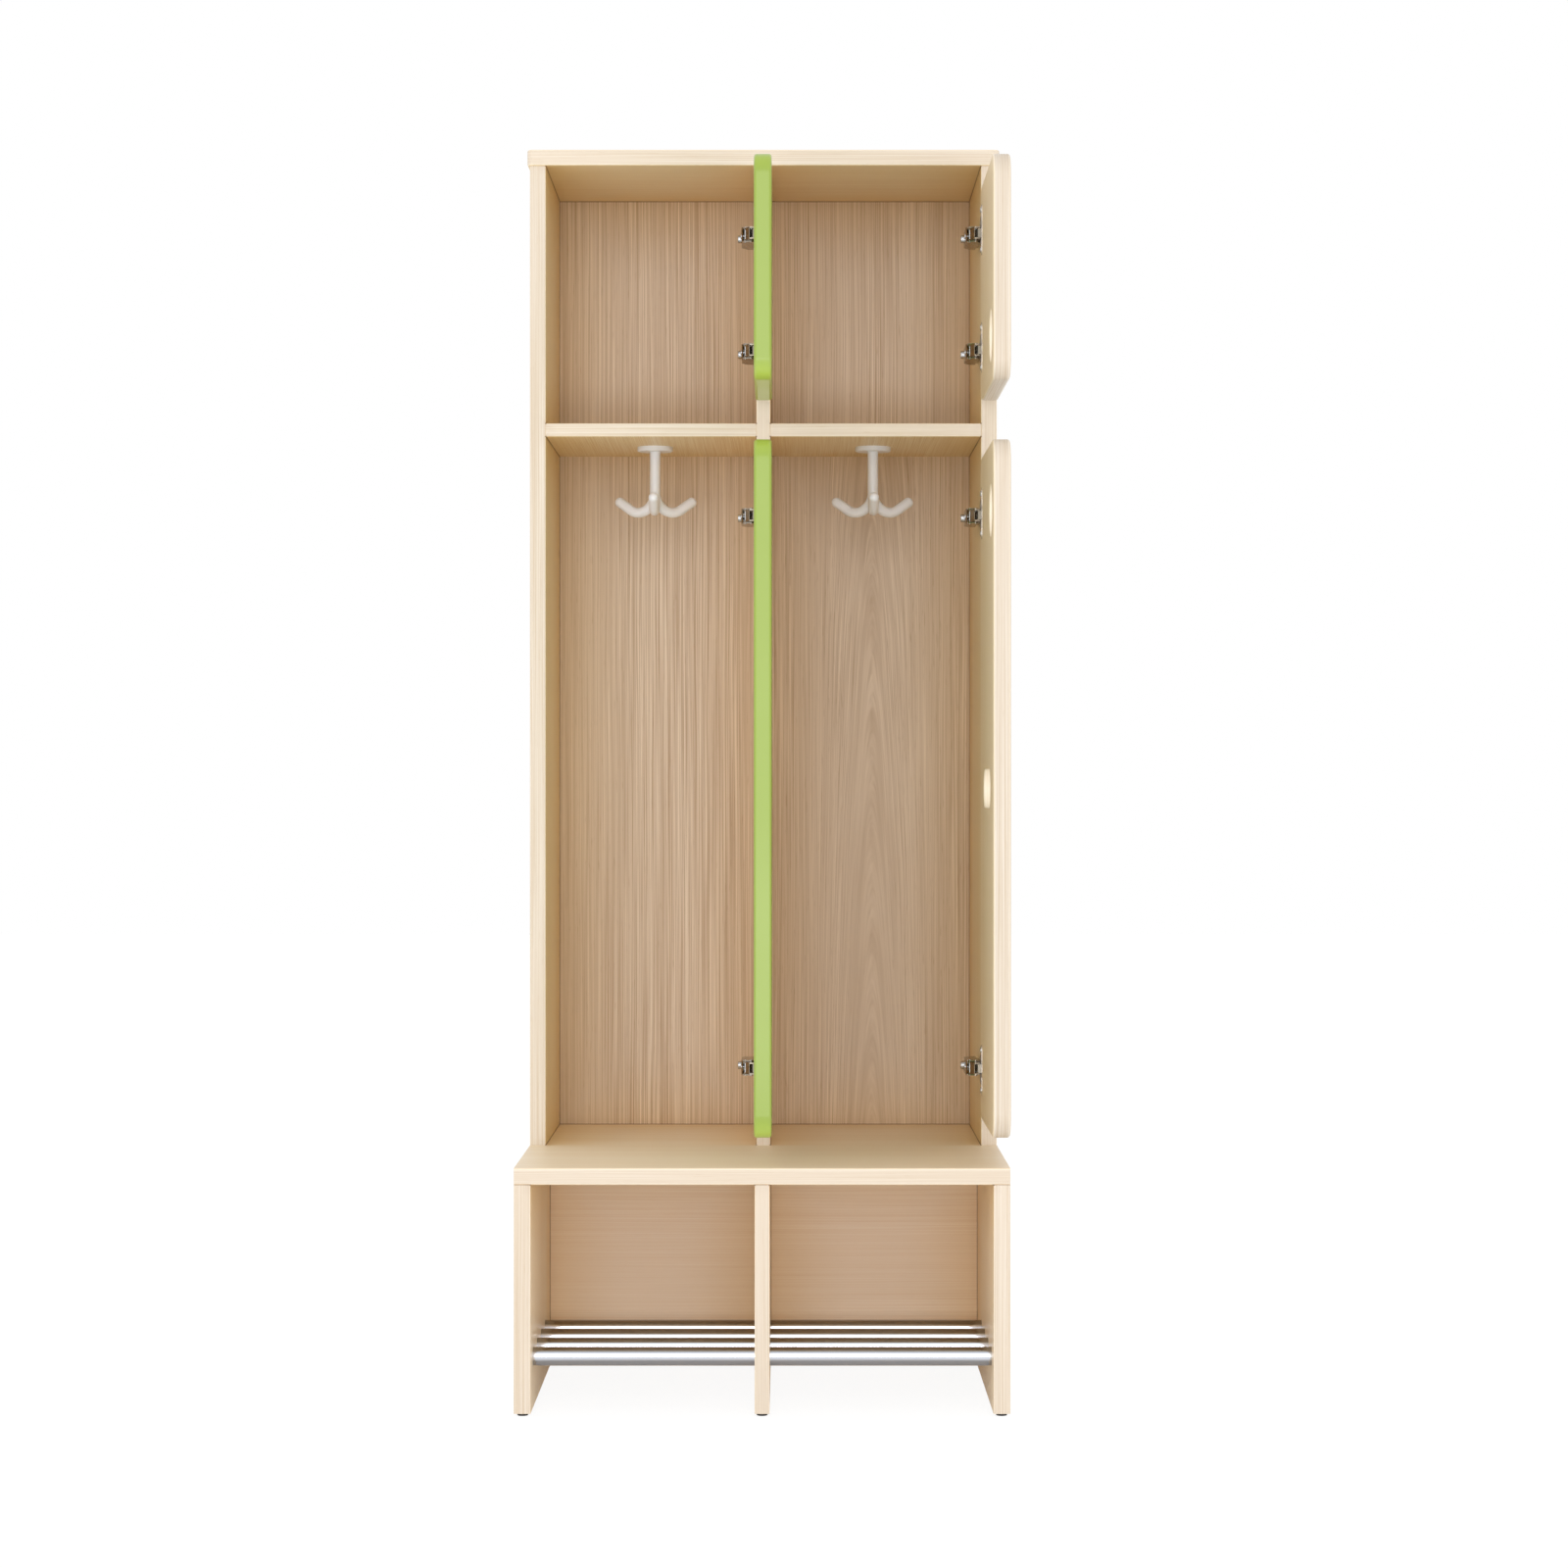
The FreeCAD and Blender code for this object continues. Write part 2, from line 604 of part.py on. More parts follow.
# The edges of the finger hole and the slot: all lie inside the door's outline
def is_hole_edge(edge, level):
    room = edge.BoundBox
    margin = mm("door_corner") / 2
    tall = mm(DOOR_LEVELS[level][1])
    inside_across = room.XMin > margin and room.XMax < mm("door_width") - margin
    inside_up = room.ZMin > margin and room.ZMax < tall - margin
    on_face = near(room.YMin, 0) or near(room.YMin, "door_board")
    return inside_across and inside_up and on_face


for level in DOOR_LEVELS:
    for side in HINGE_PANELS:
        door(level, side)


# Hinge pieces, made once round one hinge: X from the panel's inner face, Y from
# the carcass front, Z from the cup's centre
POLE = Vector(
    (mm("door_overlay") + mm("open_gap") - mm("closed_gap") - mm("open_proud")) / 2,
    -(mm("door_overlay") + mm("open_gap") + mm("closed_gap") + mm("open_proud")) / 2,
    0,
)


# A link's cup pin goes from 45 degrees before to 45 degrees after the line from
# the swing axis to its arm pin, so both ends of the door's travel fit one length
def link_points(arm_pin, reach, crook):
    towards = math.atan2(arm_pin.y - POLE.y, arm_pin.x - POLE.x)
    opened = towards + math.pi / 4
    cup_pin = POLE + Vector(math.cos(opened), math.sin(opened), 0) * reach
    span = arm_pin.distanceToPoint(POLE)
    half = math.atan2(reach * math.sin(math.pi / 4), span - reach * math.cos(math.pi / 4))
    return [arm_pin, crook, cup_pin], 2 * math.degrees(half)


OUTER_PIN = Vector(-mm("outer_pin_rise"), mm("outer_pin_back"), 0)
INNER_PIN = Vector(-mm("inner_pin_rise"), mm("inner_pin_back"), 0)
outer_points, outer_swing = link_points(
    OUTER_PIN, mm("outer_reach"),
    Vector(-mm("outer_crook_rise"), -mm("outer_crook_front"), 0))
inner_points, inner_swing = link_points(
    INNER_PIN, mm("inner_reach"),
    Vector(-mm("inner_crook_rise"), -mm("inner_crook_front"), 0))


# A strip of sheet along a bent line, with round ends and corners, from z0 to z1
def strip(points, half_width, z0, z1):
    pieces = [rod(half_width, z1 - z0, point + Z * z0, Z) for point in points]
    for start, end in zip(points, points[1:]):
        side = (end - start).cross(Z).normalize() * half_width
        corners = [start + side, end + side, end - side, start - side, start + side]
        outline = Part.makePolygon([corner + Z * z0 for corner in corners])
        pieces.append(Part.Face(outline).extrude(Z * (z1 - z0)))
    return pieces[0].fuse(pieces[1:]).removeSplitter()


def upright(radius, middle, half_height):
    return rod(radius, 2 * half_height, middle - Z * half_height, Z)


def prism(points, half_height):
    outline = Part.makePolygon([Vector(x, y, -half_height) for x, y in points + points[:1]])
    return Part.Face(outline).extrude(Z * (2 * half_height))


def outer_link():
    inside = mm("outer_side_offset")
    outside = inside + mm("outer_sheet")
    half = mm("outer_half_width")
    knuckle = mm("outer_knuckle_radius")
    cheeks = []
    for z0 in (inside, -outside):
        z1 = z0 + mm("outer_sheet")
        cheek = strip(outer_points, half, z0, z1)
        eye = rod(knuckle, mm("outer_sheet"), OUTER_PIN + Z * z0, Z)
        cheeks.append(cheek.fuse(eye))
    # the web joins the cheeks along the long leg, on the side away from the door
    leg = outer_points[1] - outer_points[0]
    along = Vector(leg).normalize()
    out = Vector(along.y, -along.x, 0)
    shift = out * (half - mm("outer_web_sheet") / 2)
    web = strip([outer_points[0] + along * 2 * knuckle + shift, outer_points[1] + shift],
                mm("outer_web_sheet") / 2, -outside, outside)
    pin = upright(mm("cup_pin_radius"), outer_points[2], outside)
    solid = cheeks[0].fuse([cheeks[1], web, pin])
    bore = upright(mm("pin_radius") + mm("link_fit"), OUTER_PIN, outside + mm("cut_overrun"))
    return solid.cut(bore).removeSplitter()


def inner_link():
    half_height = mm("inner_half_height")
    leaf = strip(inner_points, mm("inner_half_sheet"), -half_height, half_height)
    eye = upright(mm("inner_knuckle_radius"), INNER_PIN, half_height)
    curl = upright(mm("cup_pin_radius"), inner_points[2], half_height)
    bore = upright(mm("pin_radius") + mm("link_fit"), INNER_PIN,
                   half_height + mm("cut_overrun"))
    return leaf.fuse([eye, curl]).cut(bore).removeSplitter()


FIXING_BACK = mm("plate_block_front") + mm("plate_block_length") / 2


# The arm is a channel of sheet with a sloping tail and a nose round both pins
def hinge_arm():
    top = -mm("arm_height")
    foot = -mm("arm_foot")
    sheet_thickness = mm("arm_sheet")
    width = mm("arm_half_width")
    tail = mm("arm_length")
    slope = mm("arm_slope_start")
    low = top + mm("arm_slope_drop")
    front = mm("arm_front")
    shell = prism([(top, front), (top, slope), (low, tail), (foot, tail),
                   (foot, mm("inner_pin_back")), (top + sheet_thickness, mm("outer_pin_back"))],
                  width)
    nose = strip([OUTER_PIN, INNER_PIN], mm("arm_nose_radius"), -width, width)
    over = mm("cut_overrun")
    inner_top = top + sheet_thickness
    hollow = prism([(inner_top, -mm("arm_length")), (inner_top, slope),
                    (low + sheet_thickness, tail + over), (foot + over, tail + over),
                    (foot + over, -mm("arm_length"))], width - sheet_thickness)
    pins = [upright(mm("pin_radius") + mm("pin_fit"), middle, width + over)
            for middle in (OUTER_PIN, INNER_PIN)]
    screws = [
        rod(mm("fixing_screw_radius") + clear, mm("arm_height"),
            Vector(top - over, FIXING_BACK, 0), X),
        rod(mm("adjusting_screw_radius") + clear, mm("arm_height"),
            Vector(top - over, mm("adjusting_screw_back"), 0), X),
    ]
    return shell.fuse(nose).cut([hollow] + pins + screws).removeSplitter()


def mounting_plate():
    base_height = mm("plate_base")
    half = mm("plate_half_width")
    base = Part.makeBox(base_height, mm("plate_length"), 2 * half,
                        Vector(-base_height, mm("plate_front"), -half))
    block_half = mm("plate_block_half_width")
    block_top = mm("arm_height") - mm("arm_sheet") - mm("plate_arm_gap")
    block = Part.makeBox(block_top, mm("plate_block_length"), 2 * block_half,
                         Vector(-block_top, mm("plate_block_front"), -block_half))
    thread = rod(mm("fixing_screw_radius") + clear, mm("fixing_screw_length") + clear,
                 Vector(-mm("arm_height"), FIXING_BACK, 0), X)
    return base.fuse(block).cut([thread] + plate_screw(clear)).removeSplitter()


def headed_screw(seat, radius, length, head_radius, head_height):
    shank = rod(radius, length, seat, X)
    cap = rod(head_radius, head_height, seat, -X)
    return shank.fuse(cap).removeSplitter()


def cup_screws(places):
    seat_x = -mm("open_proud") - mm("cup_flange")
    cup_across = mm("open_gap") + mm("cup_edge_distance") + mm("cup_radius")
    seat_y = -cup_across - mm("cup_screw_offset")
    shapes = []
    for place in places:
        for sign in (1, -1):
            seat = Vector(seat_x, seat_y, sign * mm("cup_screw_spacing") / 2) + place
            shapes.append(headed_screw(seat, mm("cup_screw_radius"), mm("cup_screw_length"),
                                       mm("cup_screw_head_radius"), mm("cup_screw_head_height")))
    return shapes


# The cup is pressed from sheet: a round bowl with a flange and two screwed ears
def hinge_cup():
    face = -mm("open_proud")
    across = -(mm("open_gap") + mm("cup_edge_distance") + mm("cup_radius"))
    middle = Vector(face, across, 0)
    flange = mm("cup_flange")
    over = mm("cut_overrun")
    bowl = rod(mm("cup_radius"), mm("cup_depth"), middle, X)
    rim = rod(mm("cup_radius"), flange, middle, -X)
    half_spacing = mm("cup_screw_spacing") / 2
    ear_radius = mm("cup_ear_radius")
    ear_middle = middle - Y * mm("cup_screw_offset")
    ears = [rod(ear_radius, flange, ear_middle + Z * sign * half_spacing, -X) for sign in (1, -1)]
    bar = Part.makeBox(flange, 2 * ear_radius, 2 * half_spacing,
                       ear_middle - X * flange - Y * ear_radius - Z * half_spacing)
    inside = rod(mm("cup_radius") - mm("cup_wall"),
                 flange + mm("cup_depth") - mm("cup_wall") + over,
                 middle - X * (flange + over), X)
    screw_holes = [
        rod(mm("cup_screw_radius") + clear, flange + 2 * over,
            ear_middle + Z * sign * half_spacing - X * (flange + over), X)
        for sign in (1, -1)
    ]
    return bowl.fuse([rim, bar] + ears).cut([inside] + screw_holes).removeSplitter()


cup = hinge_cup()
outer = outer_link()
inner = inner_link()
arm = hinge_arm()
plate = mounting_plate()
for level in DOOR_LEVELS:
    for side in HINGE_PANELS:
        places = hinge_places(level, side)
        door_name = f"{level}_{side}_door"
        group(f"{door_name}_hinge_cups", at_hinges(cup, places))
        group(f"{door_name}_cup_screws", cup_screws(places))
        group(f"{door_name}_outer_links", at_hinges(outer, places))
        group(f"{door_name}_inner_links", at_hinges(inner, places))
        group(f"{door_name}_hinge_arms", at_hinges(arm, places))
        group(f"{door_name}_mounting_plates", at_hinges(plate, places))

arm_pins = [
    upright(mm("pin_radius"), middle, mm("arm_half_width") + mm("pin_stand_out"))
    for middle in (OUTER_PIN, INNER_PIN)
]
fixing_screw = headed_screw(
    Vector(-mm("arm_height"), FIXING_BACK, 0), mm("fixing_screw_radius"),
    mm("fixing_screw_length"), mm("fixing_screw_head_radius"), mm("fixing_screw_head_height"))
adjusting_screw = headed_screw(
    Vector(-mm("arm_height"), mm("adjusting_screw_back"), 0), mm("adjusting_screw_radius"),
    mm("adjusting_screw_length"), mm("adjusting_screw_head_radius"),
    mm("adjusting_screw_head_height"))
for name, shapes in (
    ("hinge_arm_pins", arm_pins),
    ("mounting_plate_screws", plate_screw(0)),
    ("hinge_fixing_screws", [fixing_screw]),
    ("hinge_adjusting_screws", [adjusting_screw]),
):
    group(name, [copy for shape in shapes for copy in at_hinges(shape, ALL_HINGES)])


def pattern(body, name, feature):
    ring = body.newObject("PartDesign::PolarPattern", name)
    ring.Originals = [feature]
    ring.Axis = (body_plane(body, "Z_Axis"), [""])
    ring.Angle = 360
    ring.Occurrences = int(mm("prong_count"))
    body.Tip = ring
    doc.recompute()
    return ring


# Coat hook, one moulding: disc and stem revolved, prongs swept and patterned.
# It is made with the shelf's underside at Z = 0.
def coat_hook(name, x):
    body = doc.addObject("PartDesign::Body", name)
    profile = new_sketch(body, name + "_profile")
    dip = "prong_radius - hook_drop"
    corners = [("0", "0"), ("hook_disc_radius", "0"), ("hook_disc_radius", "0 - hook_disc"),
               ("hook_stem_radius", "0 - hook_disc"), ("hook_stem_radius", f"{dip} + hook_foot_ease"),
               ("hook_stem_radius - hook_foot_ease", dip), ("0", dip)]
    points = [Vector(mm(across), mm(up), 0) for across, up in corners]
    for start, end in zip(points, points[1:] + points[:1]):
        profile.addGeometry(Part.LineSegment(start, end))
    for number, (across, up) in enumerate(corners):
        relate(profile, "Coincident", number, 2, (number + 1) % len(corners), 1)
        constrain(profile, across, "DistanceX", -1, 1, number, 1)
        constrain(profile, up, "DistanceY", -1, 1, number, 1)
    turned = body.newObject("PartDesign::Revolution", name + "_turned")
    turned.Profile = profile
    turned.ReferenceAxis = (body_plane(body, "Z_Axis"), [""])
    turned.Angle = 360
    doc.recompute()
    # the prong leaves the stem's middle, bends out, dips and rises to its tip
    path = new_sketch(body, name + "_prong_path")
    root_bend = mm("prong_dip_reach")
    tip_bend = mm("prong_tip_bend")
    low = Vector(root_bend, mm(dip), 0)
    root_middle = low + Vector(0, root_bend, 0)
    tip_middle = low + Vector(0, tip_bend, 0)
    tip = Vector(mm("prong_tip_reach"), mm(dip) + mm("prong_tip_rise"), 0)
    away = tip - tip_middle
    turn = math.atan2(away.y, away.x) - math.acos(tip_bend / away.Length)
    leave = tip_middle + Vector(math.cos(turn), math.sin(turn), 0) * tip_bend
    path.addGeometry(Part.LineSegment(Vector(0, 0, 0), Vector(0, root_middle.y, 0)))
    path.addGeometry(Part.ArcOfCircle(Part.Circle(root_middle, Z, root_bend),
                                      math.pi, 3 * math.pi / 2))
    path.addGeometry(Part.ArcOfCircle(Part.Circle(tip_middle, Z, tip_bend),
                                      3 * math.pi / 2, turn + 2 * math.pi))
    path.addGeometry(Part.LineSegment(leave, tip))
    section = new_sketch(body, name + "_prong_section", "XY_Plane")
    sketch_circle(section, "0", "0", "prong_radius")
    prong = body.newObject("PartDesign::AdditivePipe", name + "_prong")
    prong.Profile = section
    prong.Spine = (path, [])
    doc.recompute()
    pattern(body, name + "_prongs", prong)
    ball = body.newObject("PartDesign::AdditiveSphere", name + "_tip")
    bind(ball, Radius="prong_radius")
    ball.AttachmentSupport = (body_plane(body, "XZ_Plane"), [""])
    ball.MapMode = "FlatFace"
    ball.AttachmentOffset = Placement(tip, Rotation())
    doc.recompute()
    ring = pattern(body, name + "_tips", ball)
    seat = body.newObject("PartDesign::Fillet", name + "_disc_edge")
    rim = [f"Edge{number}" for number, edge in enumerate(ring.Shape.Edges, start=1)
           if near(edge.BoundBox.ZMax, "0 - hook_disc") and near(edge.BoundBox.ZLength, 0)
           and near(edge.BoundBox.XMax, "hook_disc_radius")]
    seat.Base = (ring, rim)
    bind(seat, Radius="hook_disc_round")
    thread = new_sketch(body, name + "_screw_hole", "XY_Plane")
    sketch_circle(thread, "0", "0", "hook_screw_radius + fastener_clearance")
    bore = body.newObject("PartDesign::Pocket", name + "_screw_bore")
    bore.Profile = thread
    bind(bore, Length="hook_screw_length - hook_screw_in_shelf + fastener_clearance")
    # one prong points straight to the front
    body.Placement = Placement(Vector(), Rotation(Z, -90))
    bind_place(body, x, "hook_back", SHELF_UNDERSIDE)
    return keep(body, name)


coat_hook("left_coat_hook", f"0 - (divider_board + {BAY_WIDTH}) / 2")
coat_hook("right_coat_hook", f"(divider_board + {BAY_WIDTH}) / 2")

# Fasteners and glides, each kind a group of equal solids
group("hook_screws", hook_screw_shapes(0))
group("dowels", dowel_shapes(0))
group("seat_screws", seat_screw_shapes(0))
group("back_panel_screws", back_screw_shapes(0))


def glides():
    shapes = []
    height = mm("glide_height")
    for (x, y), nail in zip(glide_places(), glide_nails(0)):
        disc = rod(mm("glide_radius"), height, Vector(x, y, 0), Z)
        rim = [edge for edge in disc.Edges if near(edge.BoundBox.ZMax, 0)]
        shapes.append(disc.makeFillet(mm("glide_round"), rim).fuse(nail).removeSplitter())
    return shapes


group("glides", glides())

doc.recompute()
for thing in doc.Objects:
    if "Invalid" in thing.State or "Error" in thing.State:
        raise RuntimeError(f"{thing.Label} failed: {thing.State}")
for thing in nodes:
    if thing.Shape.isNull() or not thing.Shape.isValid():
        raise RuntimeError(f"{thing.Label} has no valid shape")
for thing in nodes:
    thing.Shape.exportStep(f"parts/{thing.Label}.step")
print(f"{len(nodes)} nodes")
print(f"swing axis {POLE.x:.3f} {POLE.y:.3f} from the panel and the carcass front")
print(f"outer link swing {outer_swing:.4f}, inner link swing {inner_swing:.4f} degrees")
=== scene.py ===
# %% [markdown]
# # A cloakroom locker with a bench
#
# The shapes of this locker come packed from the workshop model: boards, doors,
# hinges, hooks and rails, each as its own mesh, in metres. Here they get their
# finishes, the small details that only show up close, a camera and some light.
# Everything is placed in the same coordinates as the workshop model, with X to the
# right, Y to the back and Z up, and the doors standing open.

# %% Load the locker
import json
import math

import bmesh
import bpy
from mathutils import Matrix, Vector
from mathutils.geometry import tessellate_polygon

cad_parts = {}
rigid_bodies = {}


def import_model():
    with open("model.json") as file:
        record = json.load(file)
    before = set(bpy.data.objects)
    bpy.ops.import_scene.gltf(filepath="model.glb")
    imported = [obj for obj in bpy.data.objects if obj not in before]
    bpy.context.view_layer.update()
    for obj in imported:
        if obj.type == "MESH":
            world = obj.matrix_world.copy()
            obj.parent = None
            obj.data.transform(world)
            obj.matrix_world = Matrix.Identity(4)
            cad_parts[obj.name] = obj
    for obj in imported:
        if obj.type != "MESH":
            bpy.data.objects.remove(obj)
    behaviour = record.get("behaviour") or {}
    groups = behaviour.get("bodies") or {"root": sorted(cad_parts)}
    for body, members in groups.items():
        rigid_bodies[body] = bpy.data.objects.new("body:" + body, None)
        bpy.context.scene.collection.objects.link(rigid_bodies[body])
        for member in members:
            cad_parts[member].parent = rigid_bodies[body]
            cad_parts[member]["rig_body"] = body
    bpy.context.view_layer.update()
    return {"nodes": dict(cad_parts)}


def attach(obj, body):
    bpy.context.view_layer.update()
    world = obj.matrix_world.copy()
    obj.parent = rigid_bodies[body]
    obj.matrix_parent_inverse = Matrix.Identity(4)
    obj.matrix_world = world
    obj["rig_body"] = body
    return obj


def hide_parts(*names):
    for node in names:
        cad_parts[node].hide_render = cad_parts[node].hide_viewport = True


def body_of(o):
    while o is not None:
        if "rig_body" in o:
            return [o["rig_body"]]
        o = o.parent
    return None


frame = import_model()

nodes = frame["nodes"]

# %% [markdown]
# ## The camera
#
# A catalogue picture of furniture is taken from far away with a long lens, so that
# upright lines stay upright. The lens is level, at about the height of the lower
# door's middle, and looks straight at the front. Both numbers that matter, distance
# and lens, come from how fast the boards shrink from the front of the bench to the
# back panel.

# %% Camera
lens = bpy.data.cameras.new("catalogue_lens")
lens.sensor_width = 36
lens.lens = 82.27
camera = bpy.data.objects.new("catalogue_camera", lens)
camera.location = (0.0235, -4.083, 0.6776)
camera.rotation_euler = (math.radians(90), 0, 0)
bpy.context.scene.collection.objects.link(camera)
bpy.context.scene.camera = camera
print("camera stands", round(-camera.location.y, 3), "m in front of the carcass")

# %% [markdown]
# ## Helpers for shader trees
#
# A finish is a small network of nodes. One helper adds a node, sets its values and
# plugs its inputs. The others are short names for the arithmetic that every finish
# needs, and each hands back the socket with its result.

# %% Node helpers
def add_node(tree, kind, inputs=(), **settings):
    made = tree.nodes.new(kind)
    for name, value in settings.items():
        setattr(made, name, value)
    for key, value in dict(inputs).items():
        if isinstance(value, bpy.types.NodeSocket):
            tree.links.new(value, made.inputs[key])
        else:
            made.inputs[key].default_value = value
    return made


def sums(tree, operation, *values, clamp=False):
    return add_node(tree, "ShaderNodeMath", enumerate(values),
                    operation=operation, use_clamp=clamp).outputs[0]


def plus(tree, first, second):
    return sums(tree, "ADD", first, second)


def minus(tree, first, second):
    return sums(tree, "SUBTRACT", first, second)


def times(tree, first, second):
    return sums(tree, "MULTIPLY", first, second)


def flip(tree, mask):
    return minus(tree, 1.0, mask)


def size_of(tree, value):
    return sums(tree, "ABSOLUTE", value)


def split(tree, vector):
    return add_node(tree, "ShaderNodeSeparateXYZ", {0: vector}).outputs


def join(tree, x, y, z):
    return add_node(tree, "ShaderNodeCombineXYZ", {"X": x, "Y": y, "Z": z}).outputs[0]


print("arithmetic ready")

# %% [markdown]
# ## Ramps, noise and blends
#
# A ramp turns a measure into a mask, noise gives the pattern that no two places
# share, and a blend mixes two colours or numbers by a mask. Colours are written as
# they look on a screen, and are turned into amounts of light here.

# %% Ramps, noise and blends
def remap(tree, value, low, high, to_low, to_high):
    return add_node(tree, "ShaderNodeMapRange", {
        "Value": value, "From Min": low, "From Max": high,
        "To Min": to_low, "To Max": to_high}).outputs["Result"]


def smooth(tree, value, low, high):
    return add_node(tree, "ShaderNodeMapRange", {
        "Value": value, "From Min": low, "From Max": high},
        interpolation_type="SMOOTHSTEP").outputs["Result"]


def noise(tree, vector, scale, detail=2.0, roughness=0.5):
    return add_node(tree, "ShaderNodeTexNoise", {
        "Vector": vector, "Scale": scale, "Detail": detail,
        "Roughness": roughness}).outputs["Fac"]


def blend_colours(tree, factor, first, second, how="MIX"):
    return add_node(tree, "ShaderNodeMix", {0: factor, 6: first, 7: second},
                    data_type="RGBA", blend_type=how).outputs[2]


def blend_pairs(tree, factor, first, second):
    return [blend_colours(tree, factor, *pair) for pair in zip(first, second)]


def blend_numbers(tree, factor, first, second):
    return add_node(tree, "ShaderNodeMix", {0: factor, 2: first, 3: second},
                    data_type="FLOAT").outputs[0]


def srgb(red, green, blue):
    linear = []
    for value in (red / 255, green / 255, blue / 255):
        low = value <= 0.04045
        linear.append(value / 12.92 if low else ((value + 0.055) / 1.055) ** 2.4)
    return (*linear, 1.0)


print("ramps, noise and blends ready")

# %% [markdown]
# ## Shared effects and plain finishes
#
# An effect that many finishes share is a node group, which hands out only colours
# and masks. The shader itself stays in each material. Every finish starts from the
# same plain one, with a roughness and, if it is lacquered, a clear coat.

# %% Groups and finishes
SOCKETS = {"number": "NodeSocketFloat", "vector": "NodeSocketVector",
           "colour": "NodeSocketColor"}


def shader_group(name, takes, gives):
    tree = bpy.data.node_groups.new(name, "ShaderNodeTree")
    for in_out, sockets in (("INPUT", takes), ("OUTPUT", gives)):
        for label, kind in sockets.items():
            tree.interface.new_socket(label, in_out=in_out, socket_type=SOCKETS[kind])
    return (tree, tree.nodes.new("NodeGroupInput").outputs,
            tree.nodes.new("NodeGroupOutput").inputs)


def place_group(tree, group, inputs):
    return add_node(tree, "ShaderNodeGroup", inputs, node_tree=group).outputs


def finish(name, roughness=0.45, coat=0.0):
    material = bpy.data.materials.new(name)
    material.use_nodes = True
    tree = material.node_tree
    shader = tree.nodes["Principled BSDF"]
    shader.inputs["Roughness"].default_value = roughness
    shader.inputs["Coat Weight"].default_value = coat
    return material, tree, shader


def coordinates(tree):
    return add_node(tree, "ShaderNodeTexCoord").outputs


def roughen(tree, shader, height, strength, distance=0.0002):
    bump = add_node(tree, "ShaderNodeBump", {
        "Height": height, "Strength": strength, "Distance": distance})
    tree.links.new(bump.outputs[0], shader.inputs["Normal"])


def paint(node, material):
    for slot in nodes[node].material_slots:
        slot.material = material


print("groups and finishes ready")

# %% [markdown]
# ## Straight grain
#
# The boards are faced with a printed maple film. Up close it is made of fine long
# lines, less than a millimetre apart and slightly wavy, over broad soft bands, with
# short dark pores. All of these are noise that is squeezed across the grain and
# stretched along it. One group makes the pattern, and every board uses it with its
# own direction, seed and strength, so that no two boards show the same lines.

# %% Straight grain group
grain_group, gets, puts = shader_group(
    "straight_grain",
    {"Across": "number", "Through": "number", "Along": "number", "Seed": "number",
     "Light": "colour", "Dark": "colour", "Line strength": "number",
     "Band strength": "number", "Waviness": "number"},
    {"Color": "colour", "Height": "number", "Dullness": "number"})
tree = grain_group
SEED_STEP = 3.71


def grain_noise(across, stretch, lift, scale, detail, roughness=0.5):
    through = plus(tree, gets["Through"], times(tree, gets["Seed"], SEED_STEP))
    along = plus(tree, times(tree, gets["Along"], stretch), plus(tree, gets["Seed"], lift))
    return noise(tree, join(tree, across, through, along), scale, detail, roughness)


def around_zero(value, strength):
    return times(tree, minus(tree, value, 0.5), strength)


drift = grain_noise(times(tree, gets["Across"], 0.45), stretch=0.22, lift=11.0,
                    scale=9.0, detail=2.0)
across = plus(tree, gets["Across"], around_zero(drift, gets["Waviness"]))
fine = grain_noise(across, stretch=0.0035, lift=0.0, scale=1250.0, detail=1.0,
                   roughness=0.6)
medium = grain_noise(across, stretch=0.01, lift=5.0, scale=420.0, detail=2.0,
                     roughness=0.6)
broad = grain_noise(across, stretch=0.035, lift=9.0, scale=26.0, detail=2.0)
patches = grain_noise(across, stretch=0.12, lift=23.0, scale=14.0, detail=1.0)
specks = grain_noise(across, stretch=0.045, lift=17.0, scale=900.0, detail=1.0)

zones = remap(tree, patches, 0.38, 0.62, 0.55, 1.2)
pores = smooth(tree, specks, 0.62, 0.74)
lines = times(tree, plus(tree, around_zero(medium, 0.25), around_zero(fine, 3.5)), zones)
tone = plus(tree, times(tree, lines, gets["Line strength"]),
            around_zero(broad, gets["Band strength"]))
tone = plus(tree, tone, times(tree, pores, times(tree, gets["Line strength"], 0.35)))
tone = sums(tree, "ADD", tone, 0.5, clamp=True)
tree.links.new(blend_colours(tree, tone, gets["Light"], gets["Dark"]), puts["Color"])
tree.links.new(flip(tree, tone), puts["Height"])
tree.links.new(times(tree, tone, 0.1), puts["Dullness"])
print("grain group has", len(tree.nodes), "nodes")
